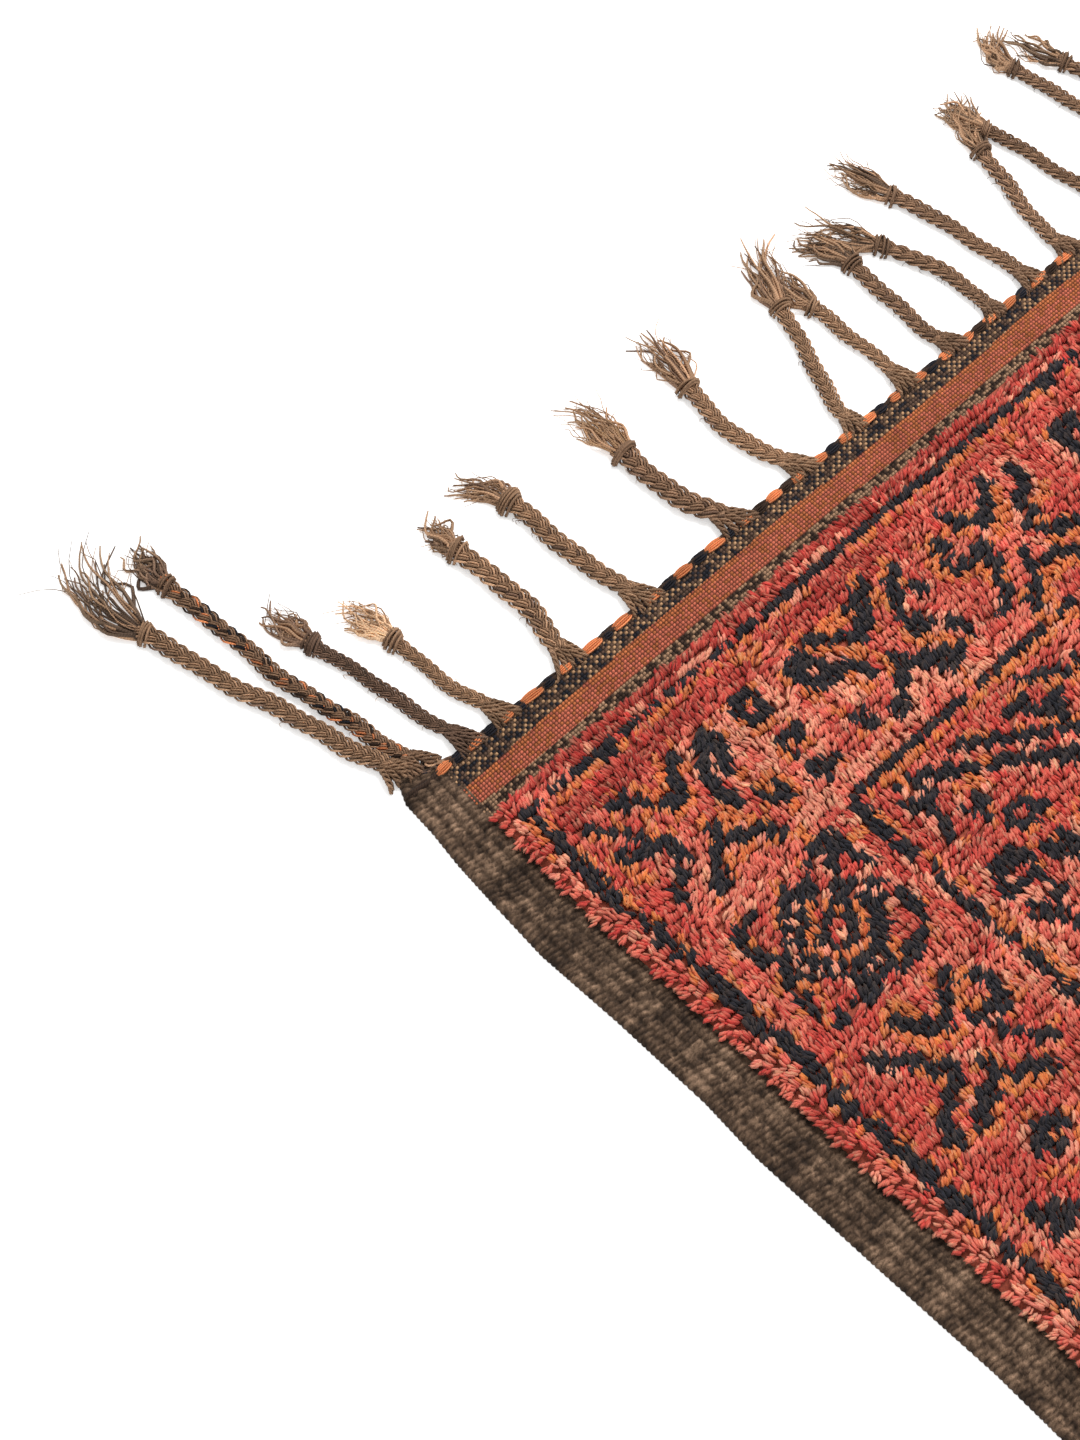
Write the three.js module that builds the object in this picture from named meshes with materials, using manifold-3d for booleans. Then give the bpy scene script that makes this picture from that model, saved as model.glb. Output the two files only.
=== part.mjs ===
// A hand-knotted wool rug that lies flat on a floor: one woven cloth with a pile field, flat-woven
// side selvedges and end bands, and at one end a twined cord that carries plaited warp braids with
// frayed tufts. Millimetres, +Z up. X runs across the rug and +Y points out of the braided end.
// "across" is measured from the left selvedge, "down" from the braided end into the rug, and "out"
// from the braided end away from the rug.
import * as THREE from "three";
import { mergeVertices } from "three/addons/utils/BufferGeometryUtils.js";
import Module from "manifold-3d";

const wasm = await Module();
wasm.setup();

// Driving dimensions of the cloth
const RUG_WIDTH = 1400;
const RUG_LENGTH = 2200;
const SELVEDGE_WIDTH = 40;
const SELVEDGE_RIBS = 4;
const SELVEDGE_THICK = 5;
const SELVEDGE_GROOVE = 4.2;
const BAND_WIDTH = 43;
const BAND_THICK = 3.8;
const PILE_SLOPE = 7;
const PILE_TOP = 11.5;
const PILE_PITCH = 58;
const PILE_LUMP = 0.8;
const PILE_ROLL = 0.9;

// How far the side edge lies in from its straight line near the braided end
const EDGE_WAVER = [
  { down: 0, inset: 9 },
  { down: 30, inset: 7 },
  { down: 60, inset: 3 },
  { down: 100, inset: 0 },
  { down: 150, inset: -3 },
  { down: 220, inset: 0 },
  { down: 300, inset: 1 },
  { down: 350, inset: -2 },
  { down: 450, inset: 0 },
  { down: 550, inset: 3 },
  { down: 700, inset: 0 },
];
const FAR_WAVER = 2.5;
const FAR_WAVER_LENGTH = 310;
const WAVER_REACH = 130;

// The twined cord along the braided end, and its gap to the cloth's edge
const CORD_WIDTH = 8;
const CORD_THICK = 6;
const CORD_STITCH = 28;
const CORD_TWIST = 0.9;
const GAP = 0.3;

// Braids in the order in which they leave the end: where each is rooted, where its middle and its
// end lie, the length and sideways drift of its tuft, and its width. A knot thickens some ends.
const BRAIDS = [
  { root: 26, mid: -8, midOut: 110, end: -36, endOut: 252, tuft: 84, drift: -4, width: 15, knot: 1.0 },
  { root: 42, mid: 15, midOut: 115, end: 3, endOut: 262, tuft: 50, drift: 4, width: 14, knot: 1.0 },
  { root: 74, mid: 58, midOut: 80, end: 47, endOut: 150, tuft: 50, drift: 2, width: 12, knot: 1.4 },
  { root: 108, mid: 96, midOut: 55, end: 92, endOut: 112, tuft: 55, drift: -8, width: 11, knot: 1.6 },
  { root: 170, mid: 181, midOut: 70, end: 178, endOut: 135, tuft: 40, drift: 3, width: 17, knot: 1.1 },
  { root: 247, mid: 239, midOut: 75, end: 237, endOut: 142, tuft: 46, drift: -14, width: 16, knot: 1.2 },
  { root: 348, mid: 331, midOut: 60, end: 331, endOut: 112, tuft: 76, drift: -8, width: 18, knot: 1.1 },
  { root: 421, mid: 406, midOut: 65, end: 418, endOut: 125, tuft: 78, drift: 1, width: 15, knot: 1.1 },
  { root: 474, mid: 493, midOut: 60, end: 522, endOut: 128, tuft: 78, drift: 2, width: 14, knot: 1.1 },
  { root: 534, mid: 539, midOut: 60, end: 538, endOut: 110, tuft: 56, drift: 2, width: 13, knot: 1.1 },
  { root: 588, mid: 586, midOut: 55, end: 594, endOut: 120, tuft: 55, drift: -20, width: 14, knot: 1.1 },
  { root: 634, mid: 641, midOut: 45, end: 621, endOut: 118, tuft: 70, drift: -8, width: 14, knot: 1.1 },
  { root: 682, mid: 681, midOut: 70, end: 668, endOut: 145, tuft: 70, drift: 3, width: 14, knot: 1.1 },
  { root: 728, mid: 738, midOut: 60, end: 760, endOut: 128, tuft: 66, drift: 10, width: 14, knot: 1.1 },
  { root: 790, mid: 787, midOut: 75, end: 778, endOut: 140, tuft: 56, drift: 2, width: 13, knot: 1.1 },
  { root: 844, mid: 853, midOut: 90, end: 848, endOut: 170, tuft: 54, drift: 22, width: 13, knot: 1.1 },
];
// Past the rows above, the braids repeat some of those rows at an even pitch, and the far corner
// has a mirrored copy of the first corner's two.
const REPEAT_FIRST = 897;
const REPEAT_PITCH = 50;
const REPEAT_COUNT = 9;
const REPEAT_ROWS = [12, 9, 7, 11, 4, 13, 10, 5, 14];
const CORNER_ROWS = 2;

// Form of a braid and its tuft
const BRAID_THICK = 10;
const TOP_SHARE = 0.8;
const PLAIT_STEP = 12;
const PLAIT_SWELL = 0.16;
const ROOT_OUT = 1;
const STUMP_LENGTH = 16;
const STUMP_SPREAD = 0.75;
const TUFT_LOCKS = 4;
const LOCK_WIDTH = 6;
const LOCK_THICK = 4.5;
const LOCK_FAN = 0.62;
const LOCK_ROOM = 0.8;
const LOCK_ROOT = 3;
const LOCK_SECTIONS = [
  { along: 0, size: 0.45, lift: 3 },
  { along: 0.5, size: 1, lift: 0 },
  { along: 1, size: 0.35, lift: 0 },
];

const WOOL_RED = 0xa8403a;
const BRAID_BROWN = 0x6b5744;

// A repeatable value from 0 to 1 for a pair of whole numbers
function dice(a, b) {
  const s = Math.sin(a * 12.9898 + b * 78.233) * 43758.5453;
  return s - Math.floor(s);
}

function betweenRows(rows, down) {
  const after = rows.findIndex((row) => row.down >= down);
  if (after === 0) return rows[0].inset;
  if (after < 0) return rows[rows.length - 1].inset;
  const [low, high] = [rows[after - 1], rows[after]];
  const share = (down - low.down) / (high.down - low.down);
  return low.inset + (high.inset - low.inset) * share;
}

// Inset of a side edge at a distance down the rug: the right edge runs half a wave off the left
function edgeInset(down, onRight) {
  const last = EDGE_WAVER[EDGE_WAVER.length - 1].down;
  const turn = ((down - last) / FAR_WAVER_LENGTH) * 2 * Math.PI;
  if (onRight) return FAR_WAVER * Math.cos(turn);
  return down < last ? betweenRows(EDGE_WAVER, down) : FAR_WAVER * Math.sin(turn);
}

// Positions of the cloth's grid lines from one edge to the other, each with its kind
function gridLines(extent, edgeLines) {
  const inner = edgeLines[edgeLines.length - 1].at;
  const steps = Math.round((extent - 2 * inner) / PILE_PITCH);
  const pile = [];
  for (let k = 1; k < steps; k++) {
    pile.push({ at: inner + ((extent - 2 * inner) * k) / steps, kind: "pile" });
  }
  const mirrored = edgeLines.map((line) => ({ ...line, at: extent - line.at })).reverse();
  return [...edgeLines, ...pile, ...mirrored];
}

function columnLines() {
  const ribPitch = SELVEDGE_WIDTH / SELVEDGE_RIBS;
  const lines = [];
  for (let k = 0; k <= 2 * SELVEDGE_RIBS; k++) {
    lines.push({ at: (k * ribPitch) / 2, kind: k % 2 ? "rib" : "groove" });
  }
  lines.push({ at: SELVEDGE_WIDTH + PILE_SLOPE, kind: "pile" });
  return gridLines(RUG_WIDTH, lines);
}

function rowLines() {
  return gridLines(RUG_LENGTH, [
    { at: 0, kind: "band" },
    { at: BAND_WIDTH / 2, kind: "band" },
    { at: BAND_WIDTH, kind: "band" },
    { at: BAND_WIDTH + PILE_SLOPE, kind: "pile" },
  ]);
}

function pileHeight(across, down, i, j) {
  const roll = Math.sin(across / 71) * Math.sin(down / 93) + 0.5 * Math.sin((across + down) / 47);
  return PILE_TOP + (PILE_ROLL * roll) / 1.5 + PILE_LUMP * (2 * dice(i, j) - 1);
}

function clothHeight(column, row, i, j) {
  if (column.kind === "rib") return SELVEDGE_THICK;
  if (column.kind === "groove") return SELVEDGE_GROOVE;
  if (row.kind === "band") return BAND_THICK;
  return pileHeight(column.at, row.at, i, j);
}

function clothAcross(column, down) {
  const fromRight = RUG_WIDTH - column.at;
  const onRight = fromRight < column.at;
  const reach = Math.max(0, 1 - Math.min(column.at, fromRight) / WAVER_REACH);
  const shift = edgeInset(down, onRight) * reach;
  return onRight ? column.at - shift : column.at + shift;
}

// A list of corner points and faces that becomes a closed mesh
class Shell {
  constructor() {
    this.points = [];
    this.faces = [];
  }

  point(x, y, z) {
    this.points.push(x, y, z);
    return this.points.length / 3 - 1;
  }

  // Four corners, anticlockwise seen from outside, cut along the first or the second diagonal
  quad(a, b, c, d, otherDiagonal = false) {
    if (otherDiagonal) this.faces.push(a, b, d, b, c, d);
    else this.faces.push(a, b, c, a, c, d);
  }

  triangle(a, b, c) {
    this.faces.push(a, b, c);
  }

  geometry() {
    const made = new THREE.BufferGeometry();
    made.setAttribute("position", new THREE.Float32BufferAttribute(this.points, 3));
    made.setIndex(this.faces);
    return made;
  }

  solid() {
    const merged = mergeVertices(this.geometry(), 1e-4);
    return new wasm.Manifold(
      new wasm.Mesh({
        numProp: 3,
        vertProperties: new Float32Array(merged.attributes.position.array),
        triVerts: new Uint32Array(merged.index.array),
      }),
    );
  }
}

// The cloth: a grid of heights over a flat underside
function clothGeometry() {
  const shell = new Shell();
  const columns = columnLines();
  const rows = rowLines();
  const place = (i, j, z) => shell.point(clothAcross(columns[i], rows[j].at), -rows[j].at, z);
  const top = rows.map((row, j) =>
    columns.map((column, i) => place(i, j, clothHeight(column, row, i, j))),
  );
  const lastRow = rows.length - 1;
  const lastColumn = columns.length - 1;
  for (let j = 0; j < lastRow; j++) {
    for (let i = 0; i < lastColumn; i++) {
      const [a, b] = [top[j][i], top[j][i + 1]];
      const [c, d] = [top[j + 1][i + 1], top[j + 1][i]];
      shell.quad(d, c, b, a, (i + j) % 2 === 1);
    }
  }
  const under = (i, j) => place(i, j, 0);
  const left = rows.map((row, j) => under(0, j));
  const right = rows.map((row, j) => under(lastColumn, j));
  for (let j = 0; j < lastRow; j++) {
    shell.quad(top[j][0], left[j], left[j + 1], top[j + 1][0]);
    shell.quad(top[j + 1][lastColumn], right[j + 1], right[j], top[j][lastColumn]);
  }
  const endEdge = (j, near, far) => {
    const low = columns.map((column, i) => {
      if (i === 0) return left[j];
      return i === lastColumn ? right[j] : under(i, j);
    });
    for (let i = 0; i < lastColumn; i++) {
      if (near) shell.quad(low[i + 1], low[i], top[j][i], top[j][i + 1]);
      else shell.quad(low[i], low[i + 1], top[j][i + 1], top[j][i]);
      if (near) shell.triangle(low[i], low[i + 1], left[far]);
      else shell.triangle(low[i + 1], low[i], left[far]);
    }
  };
  endEdge(0, true, 1);
  endEdge(lastRow, false, lastRow - 1);
  shell.triangle(left[1], right[0], right[1]);
  shell.triangle(left[lastRow - 1], right[lastRow - 1], right[lastRow]);
  for (let j = 1; j < lastRow - 1; j++) shell.quad(left[j], right[j], right[j + 1], left[j + 1]);
  return shell.geometry();
}

// A closed bar through a row of like sections, each a ring of points
function barSolid(sections) {
  const shell = new Shell();
  const rings = sections.map((section) => section.map((p) => shell.point(p.x, p.y, p.z)));
  const sides = rings[0].length;
  for (let k = 0; k + 1 < rings.length; k++) {
    for (let s = 0; s < sides; s++) {
      const next = (s + 1) % sides;
      shell.quad(rings[k][s], rings[k][next], rings[k + 1][next], rings[k + 1][s]);
    }
  }
  const last = rings.length - 1;
  for (let s = 1; s + 1 < sides; s++) {
    shell.triangle(rings[0][0], rings[0][s + 1], rings[0][s]);
    shell.triangle(rings[last][0], rings[last][s], rings[last][s + 1]);
  }
  const made = shell.solid();
  if (made.volume() <= 0) throw new Error("a bar is inside out");
  return made;
}

// Corners of a four-sided section that rests on the floor and stays outside the cloth
function restingSection(centre, way, leftHalf, rightHalf, leftTop, rightTop) {
  const side = new THREE.Vector3(-way.y, way.x, 0);
  const at = (reach, z) => centre.clone().addScaledVector(side, reach).setZ(z);
  const ring = [
    at(leftHalf, 0),
    at(leftHalf * TOP_SHARE, leftTop),
    at(-rightHalf * TOP_SHARE, rightTop),
    at(-rightHalf, 0),
  ];
  return ring.map((p) => p.setY(Math.max(p.y, ROOT_OUT)));
}

// The twined cord: a four-sided bar whose two top corners swell in turn at each stitch
function cordSolid() {
  const steps = Math.round((2 * RUG_WIDTH) / CORD_STITCH);
  const inset = EDGE_WAVER[0].inset;
  const far = RUG_WIDTH - edgeInset(0, true);
  const sections = [];
  for (let k = 0; k <= steps; k++) {
    const across = inset + ((far - inset) * k) / steps;
    const swell = k % 2 ? CORD_TWIST : -CORD_TWIST;
    sections.push([
      new THREE.Vector3(across, GAP, 0),
      new THREE.Vector3(across, CORD_WIDTH + swell, 0),
      new THREE.Vector3(across, CORD_WIDTH * 0.8 + swell, CORD_THICK + swell / 2),
      new THREE.Vector3(across, GAP, CORD_THICK - swell / 2),
    ]);
  }
  return barSolid(sections);
}

function braidCurve(braid) {
  const start = new THREE.Vector3(braid.root, CORD_WIDTH / 2, 0);
  const middle = new THREE.Vector3(braid.mid, braid.midOut, 0);
  const end = new THREE.Vector3(braid.end, braid.endOut, 0);
  const pull = middle.clone().multiplyScalar(2).sub(start.clone().add(end).multiplyScalar(0.5));
  return new THREE.QuadraticBezierCurve3(start, pull, end);
}

// One plait: its two sides swell in turn, it spreads at its root and thickens at its knot
function plaitSolid(braid) {
  const curve = braidCurve(braid);
  const length = curve.getLength();
  const steps = Math.max(4, Math.round(length / PLAIT_STEP));
  const sections = [];
  for (let k = 0; k <= steps; k++) {
    const gone = (length * k) / steps;
    const spread = 1 + STUMP_SPREAD * Math.max(0, 1 - gone / STUMP_LENGTH);
    const knot = k === steps - 1 ? braid.knot : 1;
    const half = (braid.width / 2) * spread * knot;
    const swell = (side) => 1 + (k % 2 === side ? PLAIT_SWELL : -PLAIT_SWELL);
    const top = BRAID_THICK * Math.sqrt(knot);
    sections.push(
      restingSection(
        curve.getPointAt(k / steps),
        curve.getTangentAt(k / steps),
        half * swell(0),
        half * swell(1),
        top * (k % 2 ? 0.86 : 1),
        top * (k % 2 ? 1 : 0.86),
      ),
    );
  }
  return barSolid(sections);
}

// One frayed lock: a three-sided bar that leaves the plait's end above the floor, fans out on the
// floor and thins to its tip
function lockSolid(braid, number, seed) {
  const curve = braidCurve(braid);
  const way = curve.getTangentAt(1);
  const side = new THREE.Vector3(-way.y, way.x, 0);
  const place = number / (TUFT_LOCKS - 1) - 0.5;
  const reach = braid.tuft * (0.84 + 0.16 * dice(seed, number)) * (1 - 0.25 * Math.abs(place));
  const fan = place * LOCK_FAN * (0.6 + 0.4 * dice(number, seed));
  const start = curve.getPointAt(1).addScaledVector(side, place * braid.width * LOCK_ROOM);
  const sections = LOCK_SECTIONS.map(({ along, size, lift }) => {
    const centre = start
      .clone()
      .addScaledVector(way, along * reach - LOCK_ROOT * (1 - along))
      .addScaledVector(side, fan * reach * along);
    centre.x += braid.drift * along * along;
    const half = (LOCK_WIDTH / 2) * size;
    return [
      centre.clone().addScaledVector(side, half).setZ(lift),
      centre.clone().setZ(lift + LOCK_THICK * size),
      centre.clone().addScaledVector(side, -half).setZ(lift),
    ];
  });
  return barSolid(sections);
}

function mirroredBraid(braid) {
  const { root, mid, end, drift } = braid;
  return { ...braid, root: RUG_WIDTH - root, mid: RUG_WIDTH - mid, end: RUG_WIDTH - end, drift: -drift };
}

function shiftedBraid(braid, root) {
  const by = root - braid.root;
  return { ...braid, root, mid: braid.mid + by, end: braid.end + by };
}

function allBraids() {
  const repeats = [];
  for (let k = 0; k < REPEAT_COUNT; k++) {
    repeats.push(shiftedBraid(BRAIDS[REPEAT_ROWS[k]], REPEAT_FIRST + k * REPEAT_PITCH));
  }
  return [...BRAIDS, ...repeats, ...BRAIDS.slice(0, CORNER_ROWS).map(mirroredBraid).reverse()];
}

function fringeGeometry() {
  let whole = cordSolid();
  allBraids().forEach((braid, row) => {
    whole = whole.add(plaitSolid(braid));
    for (let k = 0; k < TUFT_LOCKS; k++) whole = whole.add(lockSolid(braid, k, row));
  });
  const mesh = whole.getMesh();
  const made = new THREE.BufferGeometry();
  made.setAttribute("position", new THREE.BufferAttribute(mesh.vertProperties, 3));
  made.setIndex(new THREE.BufferAttribute(mesh.triVerts, 1));
  return made;
}

function pieceOf(name, geometry, colour) {
  const look = new THREE.MeshStandardMaterial({ color: colour, roughness: 0.95, metalness: 0 });
  const mesh = new THREE.Mesh(geometry, look);
  mesh.name = name;
  return mesh;
}

const rug = new THREE.Group();
rug.add(pieceOf("rug_cloth", clothGeometry(), WOOL_RED));
rug.add(pieceOf("braided_end_cord", fringeGeometry(), BRAID_BROWN));

// The origin is under the middle of the whole rug, on the floor
const extent = new THREE.Box3().setFromObject(rug);
const middle = extent.getCenter(new THREE.Vector3());
rug.position.set(-middle.x, -middle.y, 0);

export default rug;
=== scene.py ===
"""Looks of a hand-knotted wool rug that lies flat, with selvedges, woven bands and a braided end.

Rug measures are in millimetres: "across" runs along the braided end from the left selvedge, "down"
runs from that end into the rug, and "out" runs from that end away from the rug. Meshes are in metres
in the frame of the solids, where +X is across and +Y is out.
"""

import logging
import math
from dataclasses import dataclass, field, replace
from enum import Enum
from typing import Iterable, Sequence

import bpy
import numpy as np
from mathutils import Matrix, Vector


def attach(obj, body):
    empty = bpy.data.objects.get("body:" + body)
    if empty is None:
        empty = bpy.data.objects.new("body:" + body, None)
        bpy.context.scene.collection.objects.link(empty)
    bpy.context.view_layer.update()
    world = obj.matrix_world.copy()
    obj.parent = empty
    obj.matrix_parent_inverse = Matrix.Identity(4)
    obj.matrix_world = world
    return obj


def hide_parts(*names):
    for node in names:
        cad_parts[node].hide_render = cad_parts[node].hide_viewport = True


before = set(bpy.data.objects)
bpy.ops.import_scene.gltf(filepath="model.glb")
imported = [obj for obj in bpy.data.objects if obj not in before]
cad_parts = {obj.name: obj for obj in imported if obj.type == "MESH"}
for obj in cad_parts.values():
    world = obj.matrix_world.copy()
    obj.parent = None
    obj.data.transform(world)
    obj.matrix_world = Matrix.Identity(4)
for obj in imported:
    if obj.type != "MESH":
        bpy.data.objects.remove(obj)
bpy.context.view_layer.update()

LOG = logging.getLogger("rug")
MM = 0.001
BODY = "root"
CLOTH_NODE = "rug_cloth"
FRINGE_NODE = "braided_end_cord"
CLOTH_SLOT = "rug_wool"
YARN_SLOT = "braid_yarn"
# the colour layer: dyes with painted shade mixed in at pile roots, bead gaps, selvedge grooves and braid
# yarns
DYE_AND_SHADE_LAYER = "Dye"
BAKE_MAP = "OFBake"
PLY_MAP = "Ply"
MOST_TRIANGLES = 190_000


class Dye(Enum):
    """Colours of the rug's yarns, as eight-bit sRGB values."""

    MADDER = (168, 51, 45)
    RED = (195, 70, 61)
    CORAL = (216, 105, 88)
    SALMON = (224, 142, 117)
    ORANGE = (210, 114, 62)
    INDIGO = (38, 38, 45)
    TAN = (186, 146, 110)
    BAND_ORANGE = (184, 106, 66)
    DUSTY_RED = (182, 98, 76)
    BAND_DARK = (58, 44, 36)
    CORD_ORANGE = (224, 138, 90)
    GOAT_DARK = (56, 44, 36)
    GOAT = (96, 76, 61)
    GOAT_LIGHT = (148, 120, 98)
    BROWN = (166, 131, 103)
    DARK_BROWN = (126, 99, 82)
    UMBER = (148, 116, 92)
    SMOKE = (92, 74, 62)
    BLOND = (222, 184, 148)
    GROUND = (172, 86, 68)

    @property
    def linear(self) -> np.ndarray:
        """The dye as linear red, green and blue from 0 to 1."""
        s = np.array(self.value) / 255.0
        return np.where(s <= 0.04045, s / 12.92, ((s + 0.055) / 1.055) ** 2.4)


DYES = tuple(Dye)
DYE_INDEX = {dye: k for k, dye in enumerate(DYES)}
DYE_TABLE = np.array([dye.linear for dye in DYES])


class Mottle:
    """Smooth repeatable noise over the rug, from 0 to 1."""

    SIDE = 64

    def __init__(self, pitch: float, seed: int) -> None:
        """Makes the noise.

        Args:
            pitch: distance between its lattice points, in millimetres.
            seed: number that fixes the pattern.
        """
        self.pitch = pitch
        self.table = np.random.default_rng(seed).random((self.SIDE, self.SIDE))

    def at(self, x: np.ndarray, y: np.ndarray) -> np.ndarray:
        """Samples the noise.

        Args:
            x: places along one axis, in millimetres.
            y: places along the other axis.

        Returns:
            Values from 0 to 1, one for each place.
        """
        gx, gy = np.asarray(x) / self.pitch, np.asarray(y) / self.pitch
        ix, iy = np.floor(gx).astype(int), np.floor(gy).astype(int)
        fx, fy = gx - ix, gy - iy
        fx, fy = fx * fx * (3 - 2 * fx), fy * fy * (3 - 2 * fy)
        x0, x1 = ix % self.SIDE, (ix + 1) % self.SIDE
        y0, y1 = iy % self.SIDE, (iy + 1) % self.SIDE
        low = self.table[x0, y0] * (1 - fx) + self.table[x1, y0] * fx
        high = self.table[x0, y1] * (1 - fx) + self.table[x1, y1] * fx
        return low * (1 - fy) + high * fy


@dataclass(frozen=True)
class RugPlan:
    """The rug's plan: its sizes, its wavering sides and the way from plan places to the frame."""

    width: float = 1400.0
    length: float = 2200.0
    selvedge: float = 40.0
    band: float = 43.0
    corner_inset: float = 9.0
    far_waver: float = 2.5
    far_length: float = 310.0
    waver_reach: float = 130.0
    waver_down: tuple[float, ...] = (0, 30, 60, 100, 150, 220, 300, 350, 450, 550, 700)
    waver_inset: tuple[float, ...] = (9, 7, 3, 0, -3, 0, 1, -2, 0, 3, 0)

    def origin(self) -> tuple[float, float]:
        """Finds where across 0 and down 0 lie in the frame, from the cloth solid's left corner.

        Returns:
            The frame's X and Y of that place, in metres.
        """
        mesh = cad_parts[CLOTH_NODE].data
        points = np.empty(len(mesh.vertices) * 3)
        mesh.vertices.foreach_get("co", points)
        points = points.reshape(-1, 3)
        end = points[:, 1].max()
        edge = points[points[:, 1] > end - MM / 10]
        return edge[:, 0].min() - self.corner_inset * MM, end

    def from_side(self, across: np.ndarray) -> np.ndarray:
        """Distances from the nearer side."""
        return np.minimum(across, self.width - across)

    def from_end(self, down: np.ndarray) -> np.ndarray:
        """Distances from the nearer end."""
        return np.minimum(down, self.length - down)

    def shift(self, across: np.ndarray, down: np.ndarray) -> np.ndarray:
        """Works out how far the wavering sides push a place across.

        Args:
            across: places across.
            down: places down, with the same shape.

        Returns:
            The push in millimetres, positive to the right.
        """
        last = self.waver_down[-1]
        turn = (down - last) / self.far_length * 2 * math.pi
        left = np.interp(down, self.waver_down, self.waver_inset)
        left = np.where(down < last, left, self.far_waver * np.sin(turn))
        right = -self.far_waver * np.cos(turn)
        reach = np.clip(1 - self.from_side(across) / self.waver_reach, 0, 1)
        return np.where(across * 2 < self.width, left, right) * reach

    def place(self, across: np.ndarray, down: np.ndarray, up: np.ndarray) -> np.ndarray:
        """Turns plan places on the cloth into frame points.

        Args:
            across: places across, in millimetres.
            down: places down.
            up: heights over the floor.

        Returns:
            Points in metres, with one more axis of three.
        """
        across, down, up = np.broadcast_arrays(across, down, up)
        return self.free(across + self.shift(across, down), down, up)

    def free(self, across: np.ndarray, down: np.ndarray, up: np.ndarray) -> np.ndarray:
        """Turns plan places into frame points, with no waver of the sides.

        Args:
            across: places across, in millimetres.
            down: places down.
            up: heights over the floor.

        Returns:
            Points in metres, with one more axis of three.
        """
        x0, y0 = ORIGIN
        across, down, up = np.broadcast_arrays(across, down, up)
        return np.stack([x0 + across * MM, y0 - down * MM, up * MM], axis=-1)


PLAN = RugPlan()
ORIGIN = PLAN.origin()


def put_in_scene(name: str, data: bpy.types.ID) -> bpy.types.Object:
    """Makes an object of some data and links it to the scene."""
    made = bpy.data.objects.new(name, data)
    bpy.context.scene.collection.objects.link(made)
    return made


def set_inputs(node: bpy.types.Node, values: dict[str, float | tuple[float, ...]]) -> None:
    """Sets a node's own sockets by name."""
    for socket, value in values.items():
        node.inputs[socket].default_value = value


def cell_chance(first: np.ndarray, second: np.ndarray, keys: tuple[float, float, float]) -> np.ndarray:
    """A repeatable chance value for each pair of whole numbers, mixed by three keys."""
    value = np.sin(first * keys[0] + second * keys[1]) * keys[2]
    return value - np.floor(value)


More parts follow.
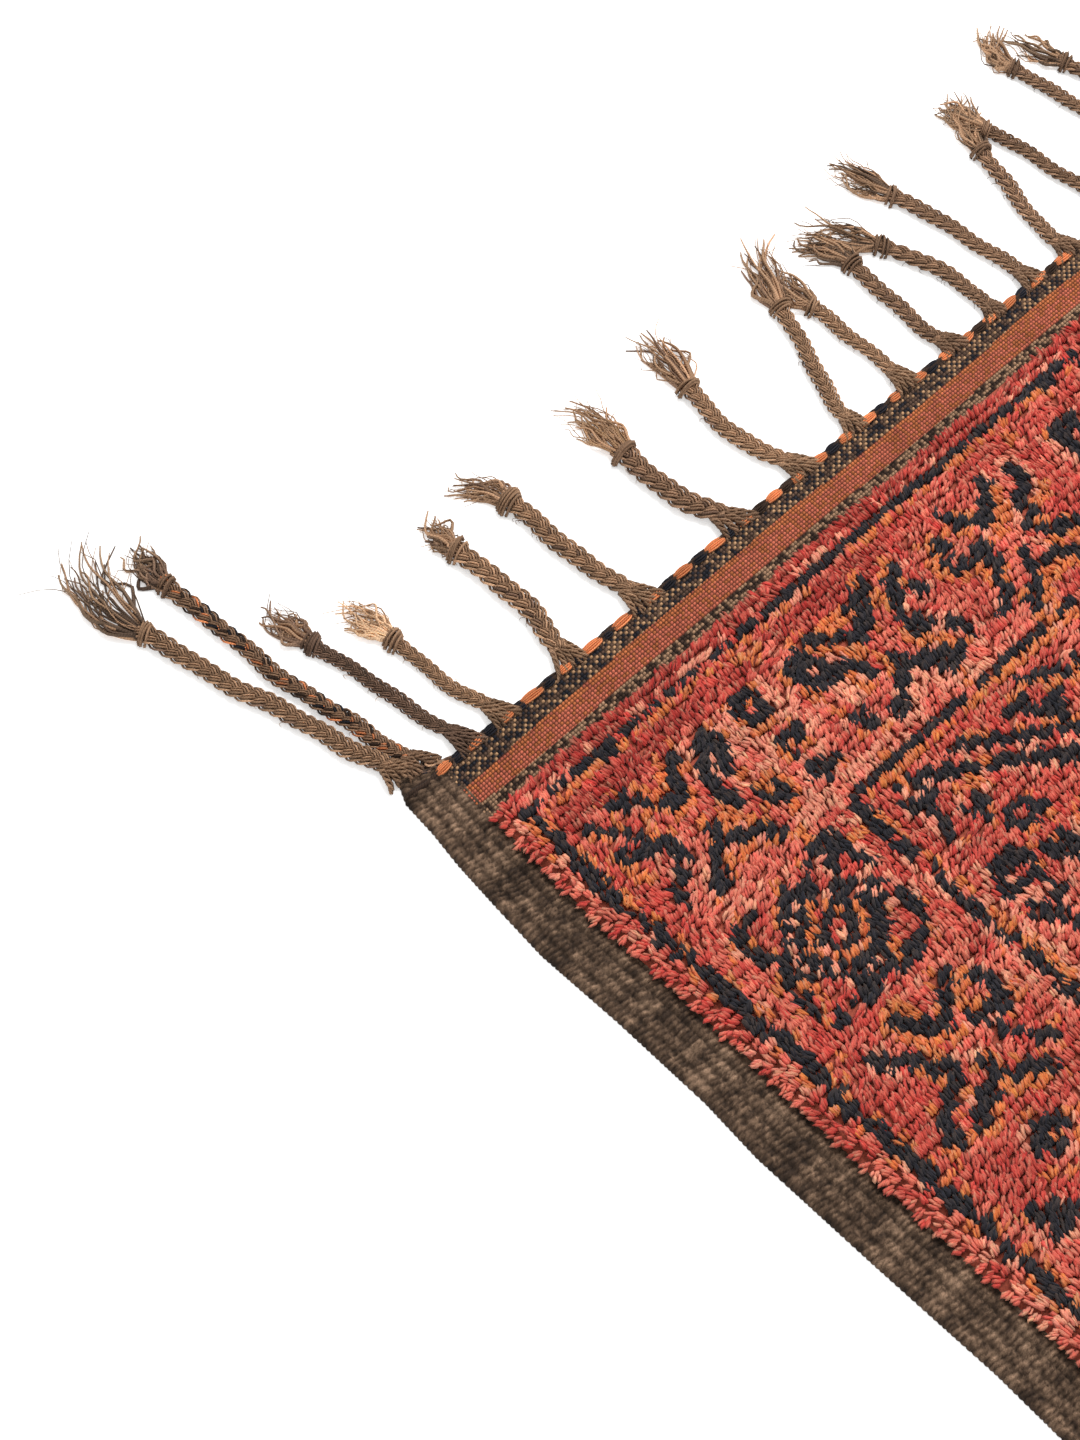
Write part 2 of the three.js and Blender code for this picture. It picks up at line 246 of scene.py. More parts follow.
@dataclass(frozen=True)
class YarnFinish:
    """Matte wool whose colour comes from the dyes and painted shade stored on the mesh, with painted shade
    in the ply grooves where its groove factor is set.
    """

    name: str
    roughness: float = 0.95
    sheen: float = 0.04
    sheen_roughness: float = 0.6
    specular: float = 0.08
    fleck: float = 0.16
    fleck_size: float = 900.0
    blotch: float = 0.10
    blotch_size: float = 35.0
    fuzz: float = 0.35
    fuzz_high: float = 0.6
    ply: float = 0.0
    ply_turns: float = 0.45
    # how much painted shade darkens the ply grooves
    groove_shade: float = 0.0

    def make(self) -> bpy.types.Material:
        """Builds the material's nodes.

        Returns:
            The finished material.
        """
        made = bpy.data.materials.new(self.name)
        made.use_nodes = True
        tree = made.node_tree
        shader = tree.nodes["Principled BSDF"]
        set_inputs(shader, {"Roughness": self.roughness, "Sheen Weight": self.sheen,
                            "Sheen Roughness": self.sheen_roughness, "Specular IOR Level": self.specular})
        dye = tree.nodes.new("ShaderNodeAttribute")
        dye.attribute_name = DYE_AND_SHADE_LAYER
        place = tree.nodes.new("ShaderNodeTexCoord")
        fleck = self._noise(tree, place, self.fleck_size, 3.0)
        blotch = self._noise(tree, place, self.blotch_size, 2.0)
        colour = self._times(tree, dye.outputs["Color"], self._gain(tree, fleck, (0.3, 0.7), self.fleck))
        colour = self._times(tree, colour, self._gain(tree, blotch, (0.3, 0.7), self.blotch))
        height = fleck
        if self.ply:
            wave = self._twist(tree)
            height = self._math(tree, "MULTIPLY_ADD", wave, self.ply, fleck)
            # painted shade: darkens the colour where the ply wave dips into a groove
            colour = self._times(tree, colour, self._gain(tree, wave, (-1.0, 0.2), self.groove_shade))
        tree.links.new(colour, shader.inputs["Base Color"])
        bump = tree.nodes.new("ShaderNodeBump")
        set_inputs(bump, {"Strength": self.fuzz, "Distance": self.fuzz_high * MM})
        tree.links.new(height, bump.inputs["Height"])
        tree.links.new(bump.outputs["Normal"], shader.inputs["Normal"])
        return made

    def _noise(self, tree: bpy.types.NodeTree, place: bpy.types.Node, scale: float,
               detail: float) -> bpy.types.NodeSocket:
        """Adds a noise texture over the object's own space.

        Args:
            tree: the material's nodes.
            place: the texture coordinate node.
            scale: how fine the noise is, per metre.
            detail: how many finer layers it holds.

        Returns:
            The noise value's socket.
        """
        noise = tree.nodes.new("ShaderNodeTexNoise")
        set_inputs(noise, {"Scale": scale, "Detail": detail})
        tree.links.new(place.outputs["Object"], noise.inputs["Vector"])
        return noise.outputs["Fac"]

    def _gain(self, tree: bpy.types.NodeTree, value: bpy.types.NodeSocket,
              span: tuple[float, float], depth: float) -> bpy.types.NodeSocket:
        """Turns a value into a factor around 1.

        Args:
            tree: the material's nodes.
            value: the value.
            span: its lowest and highest reading.
            depth: how far the factor strays from 1.

        Returns:
            The factor's socket.
        """
        ramp = tree.nodes.new("ShaderNodeMapRange")
        set_inputs(ramp, {"From Min": span[0], "From Max": span[1],
                          "To Min": 1 - depth, "To Max": 1 + depth})
        tree.links.new(value, ramp.inputs["Value"])
        return ramp.outputs["Result"]

    def _times(self, tree: bpy.types.NodeTree, colour: bpy.types.NodeSocket,
               factor: bpy.types.NodeSocket) -> bpy.types.NodeSocket:
        """Multiplies a colour by a factor.

        Args:
            tree: the material's nodes.
            colour: the colour.
            factor: the factor.

        Returns:
            The product's socket.
        """
        product = tree.nodes.new("ShaderNodeVectorMath")
        product.operation = "SCALE"
        tree.links.new(colour, product.inputs[0])
        tree.links.new(factor, product.inputs["Scale"])
        return product.outputs["Vector"]

    def _twist(self, tree: bpy.types.NodeTree) -> bpy.types.NodeSocket:
        """Draws the twist of a two-ply yarn from the map that runs round and along it.

        Args:
            tree: the material's nodes.

        Returns:
            The socket of a wave from -1 in the grooves to 1 on the plies.
        """
        run = tree.nodes.new("ShaderNodeUVMap")
        run.uv_map = PLY_MAP
        parts = tree.nodes.new("ShaderNodeSeparateXYZ")
        tree.links.new(run.outputs["UV"], parts.inputs["Vector"])
        along = self._math(tree, "MULTIPLY_ADD", parts.outputs["Y"], self.ply_turns, parts.outputs["X"])
        return self._math(tree, "SINE", self._math(tree, "MULTIPLY", along, 4 * math.pi))

    def _math(self, tree: bpy.types.NodeTree, operation: str, value: bpy.types.NodeSocket,
              factor: float | None = None, plus: bpy.types.NodeSocket | None = None) -> bpy.types.NodeSocket:
        """Adds a math node.

        Args:
            tree: the material's nodes.
            operation: what it does.
            value: its first value.
            factor: its second value, where it has one.
            plus: its third value, where it has one.

        Returns:
            The result's socket.
        """
        node = tree.nodes.new("ShaderNodeMath")
        node.operation = operation
        tree.links.new(value, node.inputs[0])
        if factor is not None:
            node.inputs[1].default_value = factor
        if plus is not None:
            tree.links.new(plus, node.inputs[2])
        return node.outputs["Value"]


PILE_WOOL = YarnFinish("Pile_wool", sheen=0.07, fleck=0.14, fleck_size=1300.0, fuzz=0.5, ply=0.5,
                       ply_turns=0.10, groove_shade=0.10)
GROUND_WOOL = YarnFinish("Ground_wool", fleck=0.25, fleck_size=600.0)
BAND_WOOL = YarnFinish("Band_wool", fleck=0.2, fleck_size=1500.0, fuzz=0.45)
GOAT_HAIR = YarnFinish("Goat_hair", fleck=0.4, fleck_size=1400.0, blotch=0.14, fuzz=0.7)
BRAID_WOOL = YarnFinish("Braid_wool", fleck=0.2, fleck_size=1500.0, fuzz=0.5, ply=0.6,
                        ply_turns=0.22, groove_shade=0.16)


@dataclass
class MeshPiece:
    """Points, faces and dyed colours, some with painted shade mixed in, that become one piece of the rug."""

    name: str
    points: np.ndarray
    faces: np.ndarray
    dyes: np.ndarray
    bake: np.ndarray
    ply: np.ndarray | None = None

    def build(self, finish: bpy.types.Material, slot: str) -> bpy.types.Object:
        """Makes the object, dresses it and lets it ride on the rug.

        Args:
            finish: its material.
            slot: the record's material slot, not used.

        Returns:
            The new object.
        """
        mesh = bpy.data.meshes.new(self.name)
        mesh.vertices.add(len(self.points))
        mesh.vertices.foreach_set("co", self.points.astype(np.float32).ravel())
        mesh.loops.add(self.faces.size)
        mesh.loops.foreach_set("vertex_index", self.faces.astype(np.int32).ravel())
        mesh.polygons.add(len(self.faces))
        corners = self.faces.shape[1]
        starts = np.arange(0, self.faces.size, corners, dtype=np.int32)
        mesh.polygons.foreach_set("loop_start", starts)
        mesh.polygons.foreach_set("use_smooth", np.ones(len(self.faces), dtype=bool))
        mesh.update(calc_edges=True)
        layer = mesh.color_attributes.new(DYE_AND_SHADE_LAYER, "FLOAT_COLOR", "POINT")
        tones = np.concatenate([self.dyes, np.ones((len(self.dyes), 1))], axis=1)
        layer.data.foreach_set("color", tones.astype(np.float32).ravel())
        self._map(mesh, BAKE_MAP, self.bake)
        if self.ply is not None:
            self._map(mesh, PLY_MAP, self.ply)
        mesh.validate()
        made = put_in_scene(self.name, mesh)
        mesh.materials.append(finish)
        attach(made, BODY)
        LOG.info("%s: %d faces", self.name, len(self.faces))
        return made

    def _map(self, mesh: bpy.types.Mesh, name: str, places: np.ndarray) -> None:
        """Adds a UV map.

        Args:
            mesh: the mesh that gets it.
            name: the map's name.
            places: one pair for each face corner.
        """
        layer = mesh.uv_layers.new(name=name)
        layer.data.foreach_set("uv", places.astype(np.float32).ravel())


@dataclass
class Tubes:
    """Many like yarns or locks, each a closed tube along its own path."""

    sides: int = 3
    point_start: bool = False
    point_end: bool = False
    phase: float = math.pi / 2

    def _size(self, k: int, stations: int) -> int:
        """Counts a station's points, which is one where the tube ends in a point."""
        lone = (k == 0 and self.point_start) or (k == stations - 1 and self.point_end)
        return 1 if lone else self.sides

    def _pattern(self, stations: int) -> tuple[np.ndarray, np.ndarray, int]:
        """Works out one tube's faces.

        Args:
            stations: how many places its path has.

        Returns:
            Its triangles, their places on the tube as turn and station, and its count of points.
        """
        rows, count = [], 0
        for k in range(stations):
            size = self._size(k, stations)
            rows.append(list(range(count, count + size)))
            count += size
        faces, places = [], []
        for k in range(stations - 1):
            low, high = rows[k], rows[k + 1]
            for s in range(self.sides):
                n = (s + 1) % self.sides
                if len(low) > 1:
                    faces.append((low[s], low[n], high[n % len(high)]))
                    places.append(((s, k), (s + 1, k), (s + 1, k + 1)))
                if len(high) > 1:
                    faces.append((low[s % len(low)], high[n], high[s]))
                    places.append(((s, k), (s + 1, k + 1), (s, k + 1)))
        for row, k, flip in ((rows[0], 0, True), (rows[-1], stations - 1, False)):
            for s in range(1, len(row) - 1):
                ends = (row[s + 1], row[s]) if flip else (row[s], row[s + 1])
                faces.append((row[0], *ends))
                places.append(((0, k), (s, k), (s + 1, k)))
        turns = np.array(places, dtype=float) / np.array([self.sides, 1.0])
        return np.array(faces), turns, count

    def mesh(self, name: str, paths: np.ndarray, wide: np.ndarray, thick: np.ndarray,
             dyes: np.ndarray, sideways: np.ndarray | None = None) -> MeshPiece:
        """Sweeps the tubes.

        Args:
            name: the piece's name.
            paths: tubes by stations by three, in metres.
            wide: half widths, tubes by stations, in metres.
            thick: half thicknesses, tubes by stations.
            dyes: linear colours, tubes by stations by three.
            sideways: level unit vectors across each tube, where it may stand upright.

        Returns:
            The piece.
        """
        tubes, stations = paths.shape[:2]
        way = np.gradient(paths, axis=1)
        way /= np.linalg.norm(way, axis=2, keepdims=True) + 1e-12
        if sideways is None:
            side = np.stack([-way[..., 1], way[..., 0], np.zeros(way.shape[:2])], axis=-1)
            side /= np.linalg.norm(side, axis=2, keepdims=True) + 1e-12
        else:
            side = np.broadcast_to(sideways[:, None, :], way.shape)
        over = np.cross(way, side)
        rings = []
        for s in range(self.sides):
            turn = self.phase + 2 * math.pi * s / self.sides
            across = side * wide[..., None] * math.cos(turn)
            rings.append(paths + across + over * thick[..., None] * math.sin(turn))
        ring = np.stack(rings, axis=2)
        faces, places, count = self._pattern(stations)
        points, tones = [], []
        for k in range(stations):
            size = self._size(k, stations)
            points.append(paths[:, k:k + 1] if size == 1 else ring[:, k])
            tones.append(np.repeat(dyes[:, k:k + 1], size, axis=1))
        start = (np.arange(tubes) * count)[:, None, None]
        run = np.concatenate([np.zeros((tubes, 1)),
                              np.cumsum(np.linalg.norm(np.diff(paths, axis=1), axis=2), axis=1)], axis=1)
        ply = np.empty((tubes, len(faces), 3, 2))
        ply[..., 0] = places[None, ..., 0]
        ply[..., 1] = run[:, places[..., 1].astype(int)] / MM
        return MeshPiece(
            name,
            np.concatenate(points, axis=1).reshape(-1, 3),
            (faces[None] + start).reshape(-1, 3),
            np.concatenate(tones, axis=1).reshape(-1, 3),
            self._cells(tubes, places, stations).reshape(-1, 2),
            ply.reshape(-1, 2),
        )

    def _cells(self, tubes: int, places: np.ndarray, stations: int) -> np.ndarray:
        """Gives each tube a cell of its own on the bake map.

        Args:
            tubes: how many tubes there are.
            places: the face corners of one tube, as turn and station.
            stations: how many stations a tube has.

        Returns:
            Map places for each tube's face corners.
        """
        grid = math.ceil(math.sqrt(tubes))
        cell = np.stack([np.arange(tubes) % grid, np.arange(tubes) // grid], axis=-1)
        local = 0.08 + 0.84 * places / np.array([1.0, stations - 1.0])
        return (cell[:, None, None, :] + local[None]) / grid


def relief(name: str, points: np.ndarray, floor: float, dyes: np.ndarray) -> MeshPiece:
    """Closes a grid of raised points with walls and a level underside.

    Args:
        name: the piece's name.
        points: rows by columns by three, in metres, where a next column lies to the right of the
            last one and a next row nearer the viewer.
        floor: the underside's height in metres.
        dyes: linear colours, rows by columns by three.

    Returns:
        The piece, in triangles.
    """
    rows, columns = points.shape[:2]
    index = np.arange(rows * columns).reshape(rows, columns)
    rim = np.concatenate([index[0, :], index[1:, -1], index[-1, -2::-1], index[-2:0:-1, 0]])
    low = rows * columns + np.arange(rim.size)

    def halves(*corners: np.ndarray) -> list[np.ndarray]:
        """Splits faces of four corners into pairs of triangles."""
        a, b, c, d = (corner.ravel() for corner in corners)
        return [np.stack([a, b, c], axis=-1), np.stack([a, c, d], axis=-1)]

    def fan(hub: int, ring: np.ndarray) -> np.ndarray:
        """Joins one point to every step of a row of points."""
        return np.stack([np.full(ring.size - 1, hub), ring[:-1], ring[1:]], axis=-1)

    right = low[columns - 1:columns + rows - 1]
    left = np.concatenate([low[:1], low[:2 * columns + rows - 4:-1]])
    near = low[columns + rows - 2:2 * columns + rows - 2]
    faces = halves(index[1:, :-1], index[1:, 1:], index[:-1, 1:], index[:-1, :-1])
    faces += halves(rim, np.roll(rim, -1), np.roll(low, -1), low)
    faces += halves(left[1:-2], right[1:-2], right[2:-1], left[2:-1])
    faces.append(fan(left[1], np.append(low[:columns], right[1])))
    faces.append(fan(left[-2], np.concatenate([right[-2:-1], near])))
    whole = np.concatenate(faces)
    under = points.reshape(-1, 3)[rim].copy()
    under[:, 2] = floor
    flat = np.concatenate([points.reshape(-1, 3), under])
    least, most = flat.min(axis=0), flat.max(axis=0)
    bake = (flat - least)[:, :2] / np.maximum(most - least, 1e-9)[:2] * 0.98 + 0.01
    tones = np.concatenate([dyes.reshape(-1, 3), dyes.reshape(-1, 3)[rim]])
    return MeshPiece(name, flat, whole, tones, bake[whole].reshape(-1, 2))


class Motif(Enum):
    """Traditional figures of the pile, each a drawing of short strokes around its centre."""

    HOOKED_STAR = "hooked star"
    WIDE_STAR = "wide star"
    LATE_STAR = "late star"
    TRINKETS = "trinkets"
    LOZENGE = "lozenge"
    TRIANGLES = "triangles"
    SEED = "seed"
    EYE = "eye"
    HOOK = "hook"


@dataclass(frozen=True)
class Stroke:
    """One stroke of a figure: its dye, its thickness and the points that it joins."""

    dye: Dye
    thick: float
    points: tuple[tuple[float, float], ...]

    def distance(self, x: np.ndarray, y: np.ndarray) -> np.ndarray:
        """Measures how far places lie from the stroke.

        Args:
            x: places across, from the figure's centre.
            y: places down, from the figure's centre.

        Returns:
            Distances to the stroke's edge, negative inside it.
        """
        best = np.full(x.shape, 1e9)
        for (ax, ay), (bx, by) in zip(self.points, self.points[1:]):
            dx, dy = bx - ax, by - ay
            share = np.clip(((x - ax) * dx + (y - ay) * dy) / (dx * dx + dy * dy + 1e-9), 0, 1)
            best = np.minimum(best, np.hypot(x - ax - share * dx, y - ay - share * dy))
        return best - self.thick / 2


def strokes(dye: Dye, thick: float, *lines: Sequence[tuple[float, float]]) -> list[Stroke]:
    """Makes strokes of one dye and thickness.

    Args:
        dye: their dye.
        thick: their thickness.
        lines: the points of each.

    Returns:
        The strokes.
    """
    return [Stroke(dye, thick, tuple(line)) for line in lines]


FIGURES: dict[Motif, list[Stroke]] = {
    Motif.HOOKED_STAR: (
        strokes(Dye.CORAL, 14, [(-48, -56), (-20, -14), (-2, 4), (-44, 46)],
                [(50, -56), (24, -20), (0, 2), (40, 44)])
        + strokes(Dye.ORANGE, 8, [(-16, -52), (-6, -34), (6, -32), (14, -52)], [(-34, -10), (-26, -24)],
                  [(-14, 50), (-8, 40), (12, 38), (22, 46)], [(12, 12), (20, 20)], [(-20, 38), (-26, 30)],
                  [(-60, -4), (-56, 14)])
        + strokes(Dye.SALMON, 7, [(28, -50), (34, -38)], [(36, -14), (44, 0), (46, 10)],
                  [(-34, 46), (-22, 26)])
        + strokes(Dye.INDIGO, 12, [(-34, -50), (-22, -42), (-14, -30), (0, -19)],
                  [(24, -50), (15, -38), (6, -24)], [(-54, -14), (-40, -8), (-26, 0), (-26, 12)])
        + strokes(Dye.INDIGO, 8, [(-57, -47), (-54, -38), (-46, -34), (-38, -20), (-34, -10)])
        + strokes(Dye.INDIGO, 11, [(2, 13), (4, 22)], [(-15, 30), (0, 25), (24, 32)],
                  [(-27, 48), (-17, 44), (-12, 32)],
                  [(36, 46), (28, 38), (24, 32)])
        + strokes(Dye.INDIGO, 11, [(54, -46), (42, -38), (30, -20), (26, -6), (30, 8)],
                  [(54, -36), (50, -22), (44, -11)])
        + strokes(Dye.INDIGO, 9, [(-52, 44), (-50, 28), (-38, 22)], [(-48, 36), (-42, 26)],
                  [(54, 17), (58, 34)],
                  [(46, 12), (52, 20)])
    ),
    Motif.WIDE_STAR: (
        strokes(Dye.CORAL, 14, [(-58, -60), (-24, -18), (0, 2), (-40, 50)],
                [(44, -56), (14, -14), (0, 2), (58, 52)])
        + strokes(Dye.ORANGE, 9, [(-64, -36), (-60, -6), (-56, 8)], [(-34, -4), (-30, 16)],
                  [(34, 14), (50, 34)],
                  [(-30, -34), (-18, -26)], [(58, -40), (48, -28)], [(-14, -14), (-6, -6)])
        + strokes(Dye.SALMON, 14, [(-18, 46), (4, 34), (22, 48)], [(-44, -2), (-40, 10)])
        + strokes(Dye.INDIGO, 12, [(-40, -46), (-26, -43), (-20, -31)],
                  [(-14, -29), (-2, -22), (12, -28), (24, -44)],
                  [(14, -47), (34, -50)], [(-57, -38), (-56, -16), (-40, -12), (-29, -16)])
        + strokes(Dye.INDIGO, 11, [(-46, -36), (-40, -26)], [(-29, -16), (-20, -6), (-19, 7)],
                  [(62, -48), (50, -36), (38, -22), (28, -4)],
                  [(38, -8), (42, 4)])
        + strokes(Dye.INDIGO, 13, [(5, 8), (4, 18), (20, 20)], [(4, 16), (-14, 32), (-30, 42)],
                  [(8, 20), (24, 30), (40, 36)],
                  [(20, 38), (36, 40)])
        + strokes(Dye.INDIGO, 10, [(-53, 20), (-46, 20), (-52, 34)], [(54, 14), (60, 26), (58, 36)],
                  [(58, -22), (64, -20)],
                  [(30, 6), (46, 4)])
    ),
    Motif.LATE_STAR: (
        strokes(Dye.CORAL, 14, [(-50, -50), (-22, -20), (0, 0), (-46, 46)],
                [(50, -52), (20, -16), (0, 0), (44, 48)])
        + strokes(Dye.ORANGE, 9, [(-26, -36), (-10, -18), (4, -8)], [(-24, 48), (-6, 34), (18, 48)],
                  [(20, -24), (34, -38)], [(-30, 8), (-22, 20)])
        + strokes(Dye.INDIGO, 11, [(-22, -46), (-12, -34), (2, -22), (14, -32), (26, -46)],
                  [(-50, -34), (-42, -24), (-26, -15)],
                  [(-30, -6), (-16, 0), (-24, 12), (-44, 20), (-55, 36)],
                  [(1, 13), (4, 24)], [(-36, 44), (-20, 34), (0, 24), (16, 34), (32, 46)])
        + strokes(Dye.INDIGO, 11, [(20, -12), (34, -8), (50, -8)], [(24, 2), (34, 12)],
                  [(44, -32), (50, -20)],
                  [(38, 24), (52, 34)], [(-50, -34), (-48, -42)])
    ),
    Motif.TRINKETS: (
        strokes(Dye.SALMON, 8, [(-18, -46), (-18, -18)], [(20, -46), (18, -14)])
        + strokes(Dye.INDIGO, 10, [(-9, -43), (7, -43), (8, -22), (-6, -24), (-10, -43)])
        + strokes(Dye.CORAL, 5, [(-3, -33), (0, -32)])
        + strokes(Dye.INDIGO, 8, [(-5, 12), (-5, 1), (8, 0), (10, -4)], [(8, 0), (4, 8)])
        + strokes(Dye.ORANGE, 6, [(4, 14), (14, 10)])
        + strokes(Dye.INDIGO, 12, [(-6, 32), (2, 40), (10, 34)], [(0, 30), (2, 38)])
    ),
    Motif.LOZENGE: (
        strokes(Dye.RED, 16, [(-40, -34), (-32, -26)], [(42, -34), (34, -24)], [(-38, 34), (-30, 26)],
                [(38, 34), (30, 28)])
        + strokes(Dye.INDIGO, 9, [(-53, -42), (-51, -16)], [(-54, 6), (-55, 34)], [(-48, 46), (-10, 47)],
                  [(8, 47), (40, 45)], [(52, -52), (53, -20)], [(54, 10), (51, 34)], [(24, -48), (50, -53)],
                  [(-46, -46), (-34, -44)], [(34, -36), (46, -46)])
        + strokes(Dye.INDIGO, 7.5, [(-50, 1), (-4, -45), (50, -2), (0, 46), (-50, 1)])
        + strokes(Dye.SALMON, 3.5, [(-42, 0), (-3, -38), (42, -1), (0, 39), (-42, 0)])
        + strokes(Dye.INDIGO, 7.5, [(-34, 1), (-2, -31), (35, -1), (0, 33), (-34, 1)])
        + strokes(Dye.INDIGO, 9, [(-4, -39), (14, -36)], [(38, 6), (24, 24)])
        + strokes(Dye.ORANGE, 5.4, [(-25, 1), (0, -22), (26, 0), (0, 24), (-25, 1)])
        + strokes(Dye.INDIGO, 7, [(-15, 1), (0, -12), (16, 1), (0, 14), (-15, 1)])
        + strokes(Dye.RED, 9, [(-3, 1), (3, 1)])
    ),
    Motif.TRIANGLES: (
        strokes(Dye.ORANGE, 6, [(-30, -22), (-12, -8), (8, -20)], [(-26, 26), (-10, 12), (8, 14)])
        + strokes(Dye.INDIGO, 12, [(-52, -8), (-36, 6), (-50, 12)], [(-44, -4), (-44, 8)],
                  [(-18, -38), (-8, -26)],
                  [(-4, -46), (8, -32)], [(18, -18), (36, -30)], [(30, 4), (46, 12), (32, 22)],
                  [(-14, 40), (2, 24), (18, 42)], [(-6, 34), (8, 36)])
    ),
    Motif.SEED: (
        strokes(Dye.INDIGO, 12, [(-6, -5), (4, 4)])
        + strokes(Dye.INDIGO, 8, [(6, -8), (9, 0)])
    ),
    Motif.EYE: (
        strokes(Dye.INDIGO, 8, [(-10, -8), (8, -9), (12, 6), (-8, 9), (-11, -4)])
        + strokes(Dye.RED, 7, [(-1, -1), (2, 1)])
    ),
    Motif.HOOK: (
        strokes(Dye.INDIGO, 9, [(-6, -18), (4, -10), (2, 4), (-4, 18)], [(4, -10), (12, -18)])
    ),
}


@dataclass(frozen=True)
class Spot:
    """One figure on the rug: which it is, where its centre lies, and how it is stretched or mirrored."""

    motif: Motif
    across: float
    down: float
    wide: float = 1.0
    tall: float = 1.0


@dataclass(frozen=True)
class Blush:
    """A stretch of pile whose reds are deeper or paler: its centre, its reach and its heat."""

    across: float
    down: float
    wide: float
    tall: float
    heat: float

    def at(self, side: np.ndarray, end: np.ndarray) -> np.ndarray:
        """Works out the heat that it adds at places near the corner."""
        far = np.maximum(np.abs(side - self.across) / self.wide, np.abs(end - self.down) / self.tall)
        return self.heat * np.clip(2.0 - far * 1.6, 0, 1)


@dataclass(frozen=True)
class KnotChart:
    """The dye of every knot: bands, frames, figures and the mottled reds between them.

    The rug repeats in mirror image about its two middle lines, so places are folded into the corner
    quarter first.
    """

    line_side: float = 65.0
    line_end: float = 64.0
    line_half: float = 5.2
    inner_side: float = 236.0
    inner_end: float = 212.0
    dot_pitch: float = 12.0
    dot_reach: float = 300.0
    zigzag_rise: float = 296.0
    zigzag_reach: float = 447.0
    zigzag_gap: float = 21.0
    seed_pitch: tuple[float, float] = (46.0, 44.0)
    seed_start: tuple[float, float] = (270.0, 250.0)
    spots: tuple[Spot, ...] = (
        Spot(Motif.HOOKED_STAR, 147, 148),
        Spot(Motif.TRINKETS, 240, 146),
        Spot(Motif.WIDE_STAR, 342, 146),
        Spot(Motif.LATE_STAR, 485, 145, -1.0, 1.05),
        Spot(Motif.TRINKETS, 590, 146, -1.0),
        Spot(Motif.WIDE_STAR, 700, 146),
        Spot(Motif.LOZENGE, 155, 272),
        Spot(Motif.LATE_STAR, 154, 391),
        Spot(Motif.TRIANGLES, 152, 503),
        Spot(Motif.LOZENGE, 155, 622),
        Spot(Motif.HOOKED_STAR, 150, 744),
        Spot(Motif.TRIANGLES, 152, 862, -1.0),
        Spot(Motif.LOZENGE, 155, 982),
        Spot(Motif.WIDE_STAR, 152, 1100, 0.9),
        Spot(Motif.SEED, 202, 174),
        Spot(Motif.HOOK, 268, 262),
        Spot(Motif.SEED, 297, 280),
        Spot(Motif.EYE, 316, 302),
        Spot(Motif.SEED, 378, 246),
        Spot(Motif.SEED, 398, 262, -1.0),
    )
    blushes: tuple[Blush, ...] = (
        Blush(230, 84, 190, 9, 0.40),
        Blush(100, 84, 40, 12, 0.22),
        Blush(84, 160, 12, 60, 0.16),
        Blush(340, 86, 90, 14, 0.20),
        Blush(212, 150, 20, 58, -0.34),
        Blush(256, 150, 12, 50, -0.22),
        Blush(300, 200, 110, 8, -0.22),
        Blush(150, 208, 60, 10, -0.10),
        Blush(246, 330, 8, 110, -0.26),
        Blush(266, 246, 20, 14, 0.24),
        Blush(160, 50, 260, 8, 0.34),
        Blush(700, 50, 400, 8, 0.30),
        Blush(50, 160, 8, 60, -0.02),
        Blush(50, 420, 8, 130, 0.02),
        Blush(150, 335, 60, 8, -0.12),
        Blush(84, 380, 10, 100, 0.14),
    )
    heats: tuple[tuple[float, Dye], ...] = ((0.26, Dye.CORAL), (0.50, Dye.RED), (0.86, Dye.MADDER))
    gold_least: float = 0.84
    mottle: Mottle = field(default_factory=lambda: Mottle(60.0, 11))
    warm: Mottle = field(default_factory=lambda: Mottle(30.0, 12))
    gold: Mottle = field(default_factory=lambda: Mottle(26.0, 13))
    batch: Mottle = field(default_factory=lambda: Mottle(1.0, 14))
    stray: Mottle = field(default_factory=lambda: Mottle(13.0, 15))

    def dyes(self, across: np.ndarray, down: np.ndarray, seed: int, bold: float) -> np.ndarray:
        """Picks a dye for each knot.

        Args:
            across: places across, in one row of numbers.
            down: places down.
            seed: number that fixes the chance picks.
            bold: how much thicker than charted the lines are.

        Returns:
            Indices into the table of dyes.
        """
        rng = np.random.default_rng(seed)
        chance = rng.random((4, across.size))
        x = across + 3.0 * (self.stray.at(across, down) - 0.5)
        y = down + 3.0 * (self.stray.at(down + 500, across) - 0.5)
        side, end = PLAN.from_side(x), PLAN.from_end(y)
        picks = self._ground(across, down, side, end, chance[0])
        gold = self.gold.at(across, down)
        self._frames(picks, x, side, end, chance, bold)
        self._zigzag(picks, side, end, chance, bold)
        for spot in self._all_spots():
            self._figure(picks, spot, side, end, gold, chance[3])
        return picks

    def _all_spots(self) -> Iterable[Spot]:
        """The listed figures, and the small ones sown between the inner frame and the zigzag."""
        yield from self.spots
        for i in range(10):
            for j in range(20):
                across = self.seed_start[0] + i * self.seed_pitch[0] + 8 * (j % 2)
                down = self.seed_start[1] + j * self.seed_pitch[1]
                gap = abs((PLAN.width / 2 - across) - self._edge(down))
                value = math.sin(i * 12.9 + j * 78.2) * 437.585 % 1.0
                if gap > 42 and across < 690 and (across > 420 or down > 330) and value > 0.3:
                    kind = Motif.EYE if value > 0.8 else Motif.HOOK if value > 0.6 else Motif.SEED
                    yield Spot(kind, across + 24 * (value - 0.65), down + 30 * (0.65 - value),
                               1.3 if i % 2 else -1.3, 1.3)

    def _edge(self, down: np.ndarray | float) -> np.ndarray | float:
        """Half width of the zigzag's lozenges at a place down."""
        turn = np.mod((down - self.inner_end) / self.zigzag_rise, 2.0)
        return self.zigzag_reach * np.abs(1 - turn)

